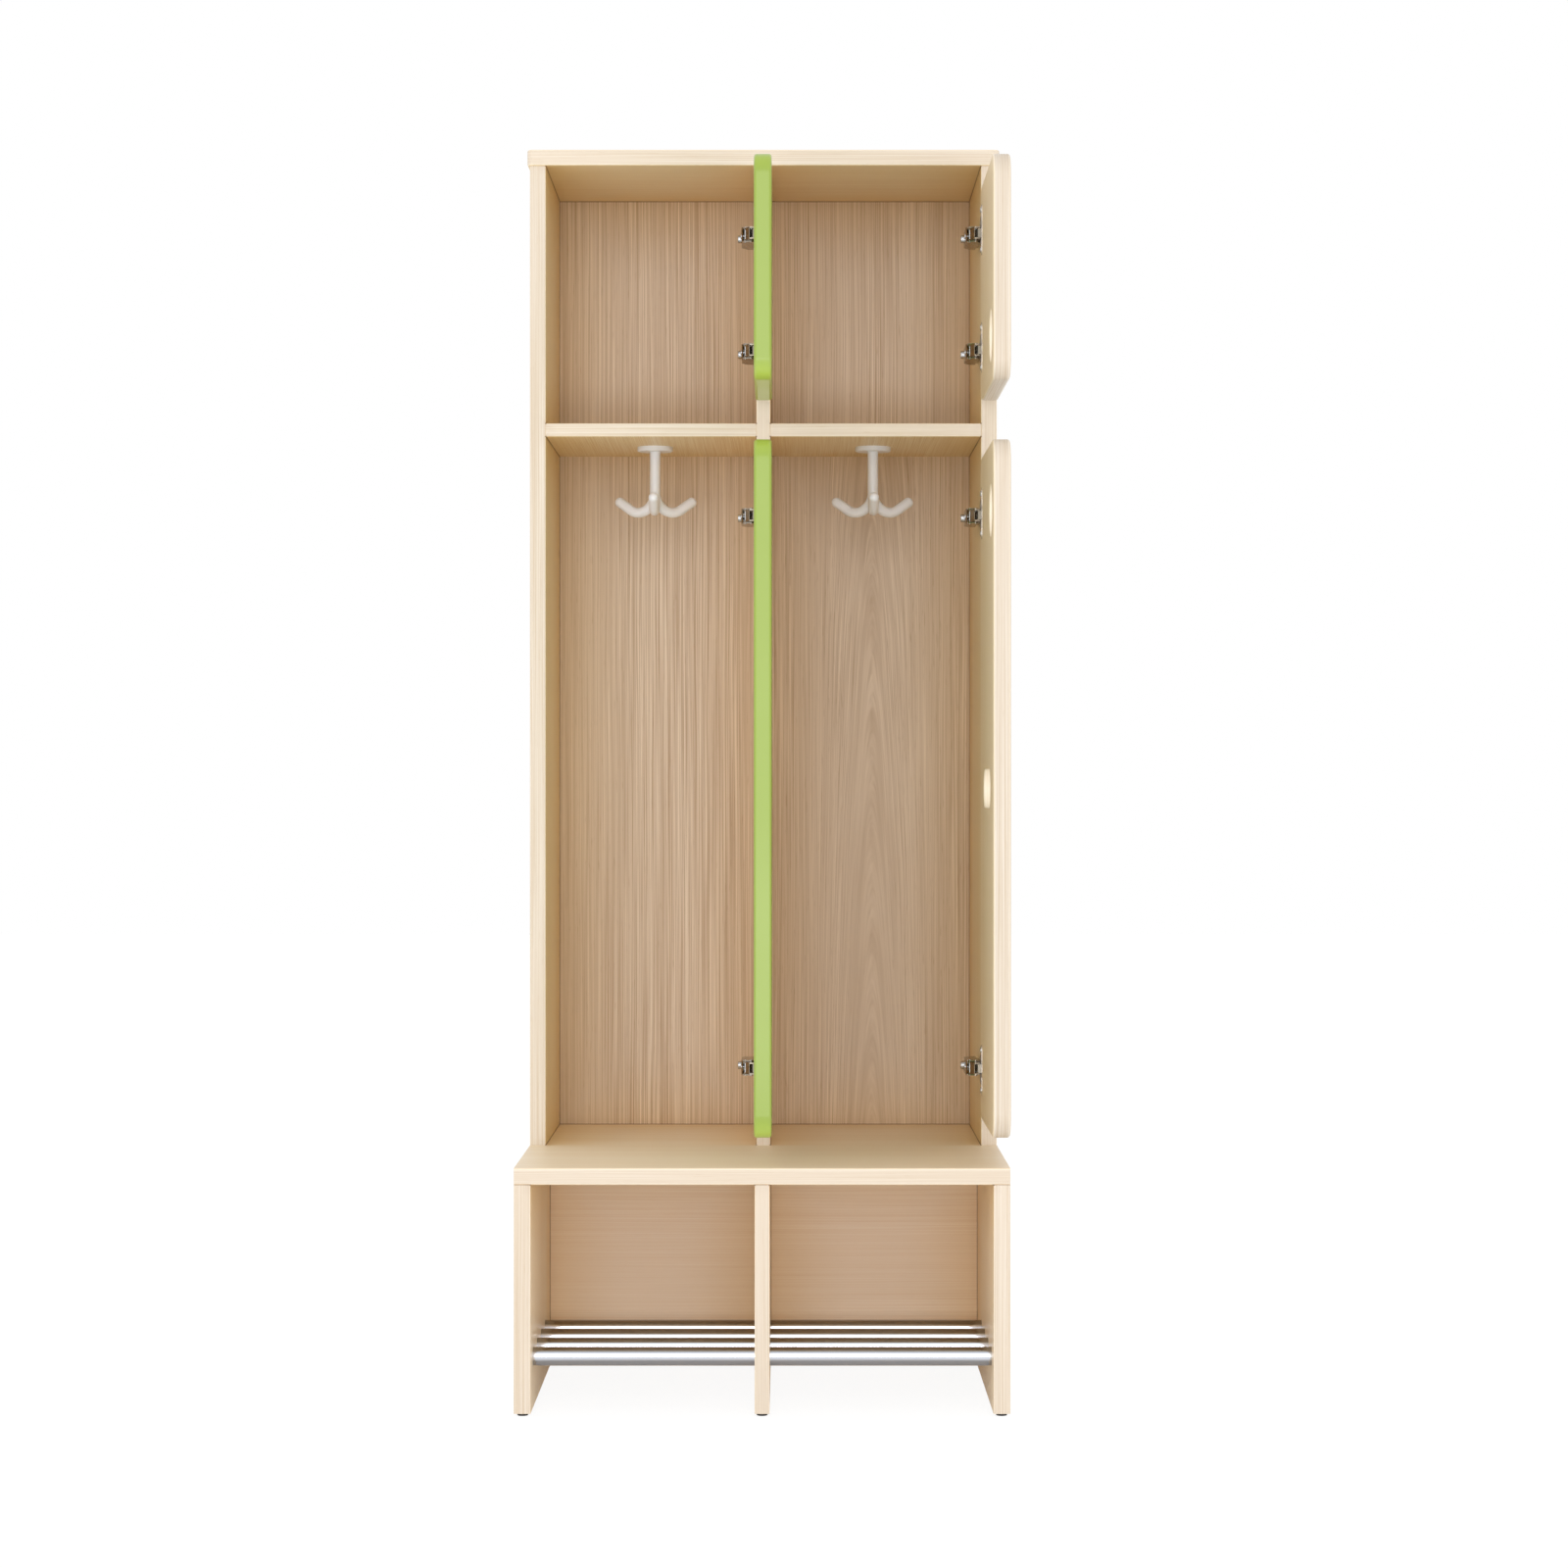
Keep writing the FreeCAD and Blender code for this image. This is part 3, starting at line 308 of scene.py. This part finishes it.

# %% [markdown]
# ## Joint lines and painted shade in corners
#
# Where two boards meet, a dark hairline shows, because saw cuts are never
# perfectly tight and a little dust settles in the corner. Round it a narrow band of
# painted shade darkens the joint. The line runs wherever two of the locker's planes
# cross. A point lies on it when two of its three distances to those planes are close
# to nothing, so the second smallest distance is the mask. Further from the joint the
# same distance tells how deep in a corner a point lies. There the print is darkened
# and warmed with painted shade, on top of what the light does by itself. All of it
# depends on the place on the object alone, so it stays put from any viewpoint. The
# outer faces, and the part of the seat in front of the carcass, are left out.

# %% Joint line and painted shade group
UPRIGHTS = (0.248, 0.008)  # inner faces of the sides, faces of the divider
ENDS = (0.266, 0.248, 1.382)  # seat, its underside, underside of the top board
SHELF = (1.0735, 1.0885)
BENCH_BACK_FACE, BACK_PANEL_FACE = 0.0725, 0.251
SEAT_UNDERSIDE, FRONT = 0.2485, -0.0005
REAR, FLANK, TOP = 0.2525, 0.257, 1.391
LINE_EDGE, SHADE_EDGE, CORNER_SHADE_EDGE = (0.0004, 0.0012), (0.0, 0.014), (-0.05, 0.1)

joint_and_shade_group, gets, puts = shader_group(
    "joint_lines_and_painted_shade", {"Position": "vector"},
    {"Line": "number", "Shade": "number", "Painted corner shade": "number"})
tree = joint_and_shade_group
place = split(tree, gets["Position"])


def nearest(value, planes):
    gaps = [size_of(tree, minus(tree, value, plane)) for plane in planes]
    closest = gaps[0]
    for gap in gaps[1:]:
        closest = sums(tree, "MINIMUM", closest, gap)
    return closest


def near_joint(distance, low, high):
    return times(tree, flip(tree, smooth(tree, distance, low, high)), counted)


aside = size_of(tree, place["X"])
in_carcass = sums(tree, "GREATER_THAN", place["Z"], SEAT_UNDERSIDE)
to_uprights = nearest(aside, UPRIGHTS)
to_ends = nearest(place["Z"], ENDS)
to_levels = sums(tree, "MINIMUM", to_ends, nearest(place["Z"], SHELF))
back_plane = blend_numbers(tree, in_carcass, BENCH_BACK_FACE, BACK_PANEL_FACE)
to_back = size_of(tree, minus(tree, place["Y"], back_plane))
by_upright = sums(tree, "MAXIMUM", to_uprights, sums(tree, "MINIMUM", to_levels, to_back))
tight = sums(tree, "MINIMUM", by_upright, sums(tree, "MAXIMUM", to_ends, to_back))
wide = sums(tree, "MINIMUM", by_upright, sums(tree, "MAXIMUM", to_levels, to_back))

left_out = times(tree, in_carcass, sums(tree, "LESS_THAN", place["Y"], FRONT))
for value, limit in ((place["Y"], REAR), (aside, FLANK), (place["Z"], TOP)):
    past = sums(tree, "GREATER_THAN", value, limit)
    left_out = sums(tree, "MAXIMUM", left_out, past)
counted = flip(tree, left_out)
# The line marks the joint itself; the shade band and the corner mask are for painted shade.
tree.links.new(near_joint(tight, *LINE_EDGE), puts["Line"])
tree.links.new(near_joint(tight, *SHADE_EDGE), puts["Shade"])
tree.links.new(near_joint(wide, *CORNER_SHADE_EDGE), puts["Painted corner shade"])
print("joint group has", len(tree.nodes), "nodes")

# %% [markdown]
# ## Opening walls and the arched figure
#
# Two masks for single boards. The first finds the walls of a door's finger holes and
# slots: they are the edge surfaces that lie well inside the door's outline. The
# second draws the arches of a plain-sawn board on the back of the right-hand column.
# Growth rings that lean towards the face look like this: near the middle of the board
# the lines rise and meet in a point, and further out they run straight.

# %% Opening walls and the arched figure
AXES = "XYZ"
WALL_MARGIN = 0.012
SHELF_UNDERSIDE = 1.08
POINT_ROUNDING, STEEPNESS, LEAN = 2e-4, 0.06, 0.1
ARCH_SCALE = 210.0


def inside(tree, place, axis, node):
    values = [vert.co[AXES.index(axis)] for vert in nodes[node].data.vertices]
    middle, half = (min(values) + max(values)) / 2, (max(values) - min(values)) / 2
    return sums(tree, "COMPARE", place[axis], middle, half - WALL_MARGIN)


def cathedral(tree, place, middle, height):
    aside = minus(tree, place["X"], middle)
    away = sums(tree, "SQRT", plus(tree, times(tree, aside, aside), POINT_ROUNDING))
    near = flip(tree, smooth(tree, away, 0.014, 0.08))
    rise = times(tree, minus(tree, place["Z"], height), STEEPNESS)
    arched = plus(tree, plus(tree, away, middle), times(tree, rise, near))
    in_bay = times(tree, sums(tree, "GREATER_THAN", place["X"], 0.0),
                   sums(tree, "LESS_THAN", place["Z"], SHELF_UNDERSIDE))
    tilt = times(tree, times(tree, aside, LEAN), in_bay)
    layers = join(tree, arched, tilt, times(tree, place["Z"], 0.02))
    central = times(tree, in_bay,
                    flip(tree, smooth(tree, size_of(tree, aside), 0.01, 0.045)))
    arches = smooth(tree, noise(tree, layers, ARCH_SCALE, 1.0), 0.42, 0.62)
    return blend_numbers(tree, in_bay, place["X"], arched), tilt, central, arches


print("masks for single boards ready")

# %% [markdown]
# ## Board finish
#
# A melamine board has a printed face and a thin band glued round its edges. The
# band's lines follow the edge, also round a corner, so on an edge the pattern is
# read across the board's thickness, and on a face across its width. The surface
# normal, in the object's own coordinates, tells which of the two a point is on, and
# which faces look outwards. The film is satin, with a faint texture that follows the
# print, and its rounded arris gets a painted highlight.

# %% Board finish
EDGE_LINES = 0.55
CALM_CENTRE, ARCH_STRENGTH = 0.4, 0.3
SHADE_STRENGTH, LINE_STRENGTH = 0.07, 0.7
SATIN, PRINT_RELIEF = 0.38, 0.12
PAINTED_ARRIS_HIGHLIGHT = srgb(255, 246, 228)
# The corner tint and the joint shade are painted shade in the corners; the joint line is
# the joint's dark hairline.
CORNER_SHADE_TINT = (0.96, 0.86, 0.64, 1.0)
JOINT_SHADE, JOINT_LINE = srgb(140, 88, 46), srgb(112, 68, 36)
# A painted highlight for the walls of a door's openings.
OPENING_WALL_HIGHLIGHT = (srgb(255, 245, 228), srgb(247, 231, 206))


# Paints shade into the corners and round each joint, then draws the joint's dark hairline.
def add_joints_and_painted_shade(tree, colour, position, on_face):
    joint = place_group(tree, joint_and_shade_group, {"Position": position})
    corner_shade = times(tree, joint["Painted corner shade"], on_face)
    colour = blend_colours(tree, corner_shade, colour, CORNER_SHADE_TINT, "MULTIPLY")
    shade = times(tree, joint["Shade"], SHADE_STRENGTH)
    colour = blend_colours(tree, shade, colour, JOINT_SHADE)
    line = times(tree, joint["Line"], LINE_STRENGTH)
    return blend_colours(tree, line, colour, JOINT_LINE)


def board_finish(name, grain, thick, seed, face, edge, lines=0.42, bands=0.35,
                 wave=0.006, joints=True, openings=None, outside=None, figure=None):
    material, tree, shader = finish(name)
    spot = coordinates(tree)
    place, facing = split(tree, spot["Object"]), split(tree, spot["Normal"])
    width = next(axis for axis in AXES if axis not in (grain, thick))
    squarely = size_of(tree, facing[thick])
    on_face = smooth(tree, squarely, 0.45, 0.75)
    across = blend_numbers(tree, on_face, place[thick], place[width])
    through = blend_numbers(tree, on_face, 0.0, place[thick])
    around = plus(tree, place[grain], place[width])
    along = blend_numbers(tree, on_face, around, place[grain])
    strength = blend_numbers(tree, on_face, EDGE_LINES, lines)
    if figure:
        across, through, central, arches = cathedral(tree, place, *figure)
        strength = blend_numbers(tree, central, strength, lines * CALM_CENTRE)
    # Outer faces take the darker outer tone; the inner tones carry painted light.
    if outside:
        outwards = sums(tree, "GREATER_THAN", times(tree, facing[thick], place[thick]), 0.0)
        face = blend_pairs(tree, outwards, face, outside)
    # The walls of the door's openings get a painted highlight.
    if openings:
        inner = times(tree, inside(tree, place, width, openings),
                      inside(tree, place, grain, openings))
        edge = blend_pairs(tree, inner, edge, OPENING_WALL_HIGHLIGHT)
    light, dark = blend_pairs(tree, on_face, edge, face)
    grained = place_group(tree, grain_group, {
        "Across": across, "Through": through, "Along": along, "Seed": seed,
        "Light": light, "Dark": dark, "Line strength": strength,
        "Band strength": bands, "Waviness": wave})
    # A painted highlight along the rounded arris between face and edge.
    arris_highlight = sums(tree, "PINGPONG", smooth(tree, squarely, 0.04, 0.96), 0.5)
    colour = blend_colours(tree, arris_highlight, grained["Color"], PAINTED_ARRIS_HIGHLIGHT)
    if figure:
        arches = times(tree, times(tree, arches, central), ARCH_STRENGTH)
        colour = blend_colours(tree, arches, colour, face[1])
    # Joint lines, with painted shade in the corners.
    if joints:
        colour = add_joints_and_painted_shade(tree, colour, spot["Object"], on_face)
    tree.links.new(colour, shader.inputs["Base Color"])
    tree.links.new(plus(tree, grained["Dullness"], SATIN), shader.inputs["Roughness"])
    roughen(tree, shader, grained["Height"], PRINT_RELIEF)
    return material


print("board finish ready")

# %% [markdown]
# ## The boards
#
# Each board names the axis that its grain follows and the axis of its thickness. The
# hat shelves are cut with the grain from front to back, everything upright has it
# upright, and the bench back and the two long tops have it from side to side. Every
# colour is a pair, the light and the dark of the print. The edge bands are a cooler
# tone than the faces, and the back panel is a darker print. A real locker has one
# maple film. The tones differ here from board to board because they are fitted by
# measure under this studio's light, so they carry painted light and shade for its
# unevenness: the bench boards and the seat are painted lighter, where less light
# reaches, the inner faces lighter than the outer ones, and the front edges darker,
# where the lamps fall full on them.

# %% Boards
# These tones carry painted light and shade: the bench and seat tones are lighter, the outer
# tone darker.
CARCASS = (srgb(246, 226, 188), srgb(228, 200, 154))
BENCH = (srgb(254, 236, 207), srgb(240, 213, 174))
BENCH_BACK = (srgb(251, 231, 209), srgb(237, 208, 177))
SEAT = (srgb(253, 237, 213), srgb(239, 214, 180))
BACK = (srgb(236, 217, 196), srgb(183, 154, 125))
OUTSIDE = (srgb(226, 210, 183), srgb(206, 184, 150))
MAPLE_EDGE = (srgb(228, 216, 201), srgb(205, 185, 159))
INNER_EDGE = (srgb(234, 222, 207), srgb(211, 191, 165))
INNER_EDGED = ("top_board", "left_shelf", "right_shelf", "right_side", "divider")
FACES = {"seat_board": SEAT, "bench_back": BENCH_BACK, "bench_left_side": BENCH,
         "bench_right_side": BENCH, "bench_divider": BENCH}
BOARDS = {
    "top_board": ("X", "Z"), "seat_board": ("X", "Z"),
    "left_shelf": ("Y", "Z"), "right_shelf": ("Y", "Z"),
    "left_side": ("Z", "X"), "right_side": ("Z", "X"), "divider": ("Z", "X"),
    "bench_left_side": ("Z", "X"), "bench_right_side": ("Z", "X"),
    "bench_divider": ("Z", "X"), "bench_back": ("X", "Y"),
}
for number, (node, (grain, thick)) in enumerate(BOARDS.items()):
    paint(node, board_finish(
        "maple_" + node, grain, thick, 2.3 + 1.7 * number, FACES.get(node, CARCASS),
        INNER_EDGE if node in INNER_EDGED else MAPLE_EDGE,
        lines=0.75 if node.endswith("shelf") else 0.42,
        bands=0.7 if node == "seat_board" else 0.4,
        outside=OUTSIDE if node.endswith("_side") else None))

COLUMN_MIDDLE, ARCH_HEIGHT = 0.13, 0.72
paint("back_panel", board_finish(
    "back_panel_film", "Z", "Y", 41.0, BACK, BACK, lines=0.65, bands=0.3, wave=0.008,
    figure=(COLUMN_MIDDLE, ARCH_HEIGHT)))
print(len(BOARDS) + 1, "boards finished")

# %% [markdown]
# ## Door finishes
#
# The right-hand doors wear the maple film too. Their inner faces are painted lighter
# than the outer ones, and the walls of their openings get a painted highlight.
# The left-hand doors are sprayed a fresh green: one smooth coat over face and edge,
# with the slight unevenness that a spray gun leaves, called orange peel. Surfaces
# that look up or down get a lighter tint. That is a correction for the studio's
# light, which reaches them less, and not a property of the lacquer.

# %% Doors
MAPLE = (srgb(252, 235, 208), srgb(236, 211, 175))
DOOR_EDGE = (srgb(222, 211, 197), srgb(199, 180, 155))
for number, level in enumerate(("upper", "lower")):
    door = level + "_right_door"
    paint(door, board_finish(
        "maple_" + level + "_door", "Z", "X", 61.0 + 5.3 * number, MAPLE, DOOR_EDGE,
        joints=False, openings=door, outside=OUTSIDE))

green, tree, shader = finish("green_lacquer", 0.36, 0.35)
spot = coordinates(tree)
shader.inputs["Coat Roughness"].default_value = 0.12
cloud = noise(tree, spot["Object"], 7.0, 3.0)
upwards = split(tree, spot["Normal"])["Z"]
colour = blend_colours(tree, cloud, srgb(148, 170, 66), srgb(143, 165, 59))
colour = blend_colours(tree, smooth(tree, upwards, 0.05, 0.8), colour, srgb(157, 179, 62))
colour = blend_colours(tree, smooth(tree, upwards, -0.05, -0.8), colour, srgb(168, 191, 78))
tree.links.new(colour, shader.inputs["Base Color"])
tree.links.new(remap(tree, cloud, 0.2, 0.8, 0.32, 0.42), shader.inputs["Roughness"])
roughen(tree, shader, noise(tree, spot["Object"], 900.0, 2.0), 0.08)
for level in ("upper", "lower"):
    paint(level + "_left_door", green)
print("doors finished")

# %% [markdown]
# ## Metals
#
# The rails are chromed tube, the hinges nickel-plated pressings with satin cups, and
# the screws zinc. All are metals with their own tint and roughness. Drawn tube has
# hair lines that run along it, and pressed sheet has a mottled polish. The tube's
# tint also changes with the way a point faces: lighter along the front, darker on top
# and underneath. Real chrome has one tint. The change stands in for reflections of a
# richer studio than this plain white one.

# %% Metals
def metal_finish(name, light, dark, smoothest, dullest, scale, stretch=(1, 1, 1),
                 painted_reflection=None):
    material, tree, shader = finish(name)
    spot = coordinates(tree)
    shader.inputs["Metallic"].default_value = 1.0
    drawn = add_node(tree, "ShaderNodeMapping", {
        "Vector": spot["Object"], "Scale": stretch}).outputs[0]
    marks = noise(tree, drawn, scale, 3.0)
    colour = blend_colours(tree, marks, light, dark)
    # A painted reflection: the tube's tint changes with the way the surface faces.
    if painted_reflection:
        upwards = split(tree, spot["Normal"])["Z"]
        front, top = painted_reflection
        colour = blend_colours(tree, smooth(tree, upwards, -0.4, -0.1), colour, front)
        colour = blend_colours(tree, smooth(tree, upwards, 0.5, 0.62), colour, top)
    tree.links.new(colour, shader.inputs["Base Color"])
    tree.links.new(remap(tree, marks, 0.25, 0.75, smoothest, dullest),
                   shader.inputs["Roughness"])
    roughen(tree, shader, marks, 0.05, 0.0001)
    return material


chrome = metal_finish("chromed_tube", srgb(166, 166, 169), srgb(156, 156, 159),
                      0.05, 0.11, 500.0, stretch=(0.02, 1, 1),
                      painted_reflection=(srgb(222, 226, 236), srgb(160, 158, 156)))
nickel = metal_finish("nickel_plate", srgb(170, 160, 146), srgb(150, 140, 126),
                      0.16, 0.3, 260.0)
satin = metal_finish("satin_nickel", srgb(226, 218, 210), srgb(208, 200, 192),
                     0.34, 0.46, 260.0)
zinc = metal_finish("zinc_plate", srgb(205, 206, 208), srgb(178, 180, 184),
                    0.2, 0.36, 420.0)
for node in nodes:
    if node.endswith("shoe_rail"):
        paint(node, chrome)
    elif "screws" in node or node == "hinge_arm_pins":
        paint(node, zinc)
    elif node.endswith("hinge_cups"):
        paint(node, satin)
    elif "hinge" in node or node.endswith(("links", "plates")):
        paint(node, nickel)
print("metals finished")

# %% [markdown]
# ## Reading a screw's outline
#
# In the workshop model a screw is a plain turned shape, and one mesh holds a whole
# set of them. Points that are joined by edges belong to one screw. Every point's
# distance from the screw's axis, against its place along the axis, gives the profile
# that a new screw can be turned from, and its widest part tells where the head is.

# %% Screw outlines
def separate_points(mesh):
    shell = bmesh.new()
    shell.from_mesh(mesh)
    bmesh.ops.remove_doubles(shell, verts=shell.verts, dist=1e-5)
    waiting = set(shell.verts)
    for start in shell.verts:
        if start not in waiting:
            continue
        waiting.remove(start)
        found = [start]
        for vert in found:
            joined = {edge.other_vert(vert) for edge in vert.link_edges} & waiting
            waiting -= joined
            found.extend(joined)
        yield [vert.co.copy() for vert in found]
    shell.free()


def turned_profile(points, axis):
    middle = sum(points, Vector()) / len(points)
    for other in range(3):
        if other != axis:
            values = [point[other] for point in points]
            middle[other] = (min(values) + max(values)) / 2
    pairs = set()
    for point in points:
        offset = point - middle
        height, offset[axis] = offset[axis], 0
        pairs.add((round(height, 5), round(offset.length, 5)))
    widest = max(radius for height, radius in pairs)
    heads = [height for height, radius in pairs if radius == widest]
    up = 1 if sum(heads) / len(heads) > 0 else -1
    profile = sorted((up * height, radius) for height, radius in pairs if radius > 1e-4)
    return middle, up, profile


print("outline reader ready")

# %% [markdown]
# ## Turning a screw
#
# The profile is turned into rings, its top edge is eased a little, and the head gets
# the cross that a screwdriver fits: a wide outline at the top, a smaller one at the
# bottom, and sloping walls between them.

# %% Screw shapes
STEPS = 40
EASE, EASE_SHARE = 0.0003, 0.12
CROSS_TOP, CROSS_FLOOR, CROSS_DEPTH = (0.6, 0.15), (0.36, 0.11), 0.3


def cross_outline(radius, shares, height):
    length, width = (radius * share for share in shares)
    corner = [(length, -width), (length, width), (width, width)]
    outline = []
    for turn in range(4):
        quarter = Matrix.Rotation(turn * math.pi / 2, 3, "Z")
        outline += [quarter @ Vector((x, y, height)) for x, y in corner]
    return outline


def turn_screw(made, profile, place):
    def add_points(points):
        return [made.verts.new(place @ point) for point in points]

    top, radius = profile[-1]
    ease = min(EASE, radius * EASE_SHARE)
    profile = profile[:-1] + [(top - ease, radius), (top, radius - ease)]
    turns = [n * math.tau / STEPS for n in range(STEPS)]
    rings = [add_points(Vector((r * math.cos(turn), r * math.sin(turn), height))
                        for turn in turns) for height, r in profile]
    for low, high in zip(rings, rings[1:]):
        for n in range(STEPS):
            made.faces.new((low[n - 1], low[n], high[n], high[n - 1]))
    made.faces.new(rings[0][::-1])
    rim = add_points(cross_outline(radius, CROSS_TOP, top))
    floor = add_points(cross_outline(radius, CROSS_FLOOR, top - radius * CROSS_DEPTH))
    for n in range(len(rim)):
        made.faces.new((rim[n - 1], rim[n], floor[n], floor[n - 1]))
    made.faces.new(floor)
    corners = rings[-1] + rim
    for triangle in tessellate_polygon([[vert.co for vert in rings[-1]],
                                        [vert.co for vert in rim]]):
        made.faces.new([corners[n] for n in triangle])


print("screw shape ready")

# %% [markdown]
# ## Screws with a cross recess
#
# Each plain screw is replaced by a turned one in the same place, on the same body.
# The driver never leaves two screws alike, so each stops at its own angle.

# %% Replace the plain screws
TURN_PER_SCREW = 0.7


def cross_head_screws(node, axis):
    made = bmesh.new()
    for number, points in enumerate(separate_points(nodes[node].data)):
        middle, up, profile = turned_profile(points, axis)
        towards = Vector([up if n == axis else 0 for n in range(3)])
        aim = towards.to_track_quat("Z", "Y").to_matrix().to_4x4()
        spin = Matrix.Rotation(TURN_PER_SCREW * number, 4, "Z")
        turn_screw(made, profile, Matrix.Translation(middle) @ aim @ spin)
    bmesh.ops.recalc_face_normals(made, faces=made.faces)
    mesh = bpy.data.meshes.new(node + "_detailed")
    made.to_mesh(mesh)
    made.free()
    mesh.shade_smooth()
    mesh.set_sharp_from_angle(angle=math.radians(40))
    mesh.materials.append(zinc)
    piece = bpy.data.objects.new(node + "_detailed", mesh)
    bpy.context.scene.collection.objects.link(piece)
    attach(piece, body_of(nodes[node])[0])
    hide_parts(node)
    return number + 1


turned = sum(cross_head_screws(node, 0) for node in nodes
             if node.endswith(("cup_screws", "fixing_screws", "adjusting_screws")))
turned += cross_head_screws("back_panel_screws", 1)
print(turned, "screws with a cross recess")

# %% [markdown]
# ## Hooks, glides and dowels
#
# The hooks are moulded in warm white plastic, glossy on top of a fine moulded skin.
# The glides are hard black plastic, scuffed underneath. The dowels stay hidden, and
# are plain beech.

# %% Plastics and dowels
cream, tree, shader = finish("warm_white_plastic", 0.3, 0.15)
spot = coordinates(tree)
skin = noise(tree, spot["Object"], 700.0, 2.0)
flow = noise(tree, spot["Object"], 30.0, 2.0)
tree.links.new(blend_colours(tree, flow, srgb(244, 245, 251), srgb(237, 238, 244)),
               shader.inputs["Base Color"])
tree.links.new(remap(tree, skin, 0.2, 0.8, 0.26, 0.36), shader.inputs["Roughness"])
roughen(tree, shader, skin, 0.05)
paint("left_coat_hook", cream)
paint("right_coat_hook", cream)

black, tree, shader = finish("black_plastic", 0.5)
scuffs = noise(tree, coordinates(tree)["Object"], 1200.0, 3.0)
tree.links.new(blend_colours(tree, scuffs, srgb(9, 9, 9), srgb(27, 26, 25)),
               shader.inputs["Base Color"])
tree.links.new(remap(tree, scuffs, 0.2, 0.8, 0.42, 0.62), shader.inputs["Roughness"])
paint("glides", black)

BEECH = (srgb(222, 190, 150), srgb(196, 160, 118))
paint("dowels", board_finish("beech_dowels", "Z", "X", 83.0, BEECH, BEECH, joints=False))
print("plastics finished")

# %% [markdown]
# ## The white studio
#
# The studio is white all round, and the world sends soft light from every side. To
# the camera and in reflections the background is exactly white, but to the object it
# shines less, so that pale maple keeps its colour. The floor does the same trick in
# part only, and so keeps a trace of the shadow under the bench.

# %% World and floor
WORLD_LIGHT = 0.97
FLOOR_REACH, FLOOR_GLOW, FLOOR_GLOW_SHARE = 12, 1.06, 0.86


def seen_directly(tree, in_metal=1.0):
    path = add_node(tree, "ShaderNodeLightPath").outputs
    mirrored = times(tree, path["Is Glossy Ray"], in_metal)
    seen = sums(tree, "MAXIMUM", path["Is Camera Ray"], mirrored)
    return sums(tree, "MAXIMUM", seen, path["Is Transmission Ray"])


bpy.context.scene.view_settings.view_transform = "Standard"
world = bpy.data.worlds.new("white_studio")
bpy.context.scene.world = world
world.use_nodes = True
tree = world.node_tree
background = tree.nodes["Background"]
background.inputs["Color"].default_value = (1, 1, 1, 1)
tree.links.new(blend_numbers(tree, seen_directly(tree), WORLD_LIGHT, 1.0),
               background.inputs["Strength"])

mesh = bpy.data.meshes.new("studio_floor")
corners = [(-1, -1), (1, -1), (1, 1), (-1, 1)]
mesh.from_pydata([(x * FLOOR_REACH, y * FLOOR_REACH, 0) for x, y in corners],
                 [], [(0, 1, 2, 3)])
floor = bpy.data.objects.new("studio_floor", mesh)
bpy.context.scene.collection.objects.link(floor)
white, tree, shader = finish("studio_white", 0.9)
shader.inputs["Base Color"].default_value = (0.93, 0.93, 0.93, 1)
glow = add_node(tree, "ShaderNodeEmission", {"Strength": FLOOR_GLOW})
share = times(tree, seen_directly(tree, 0.25), FLOOR_GLOW_SHARE)
both = add_node(tree, "ShaderNodeMixShader", {
    0: share, 1: shader.outputs[0], 2: glow.outputs[0]})
tree.links.new(both.outputs[0], tree.nodes["Material Output"].inputs["Surface"])
mesh.materials.append(white)
print("studio ready")

# %% [markdown]
# ## The lamps
#
# Two soft panels stand in front. The tall one is behind the camera, a little above
# it, and lights the whole front evenly. The low and wide one reaches under the seat,
# so that the bench's bays stay readable, and draws the bright line along the rails.

# %% Lamps
def panel_lamp(name, place, aim, size, power):
    lamp = bpy.data.lights.new(name, "AREA")
    lamp.shape = "RECTANGLE"
    lamp.size, lamp.size_y = size
    lamp.energy = power
    thing = bpy.data.objects.new(name, lamp)
    thing.location = place
    thing.rotation_euler = (Vector(aim) - Vector(place)).to_track_quat("-Z", "Y").to_euler()
    bpy.context.scene.collection.objects.link(thing)


panel_lamp("front_panel", (-0.1, -4.6, 1.9), (0, 0, 0.7), (2.2, 2.6), 32)
panel_lamp("low_panel", (0.1, -3.2, 0.35), (0, 0, 0.2), (4.6, 0.5), 24)
print("two lamps placed")
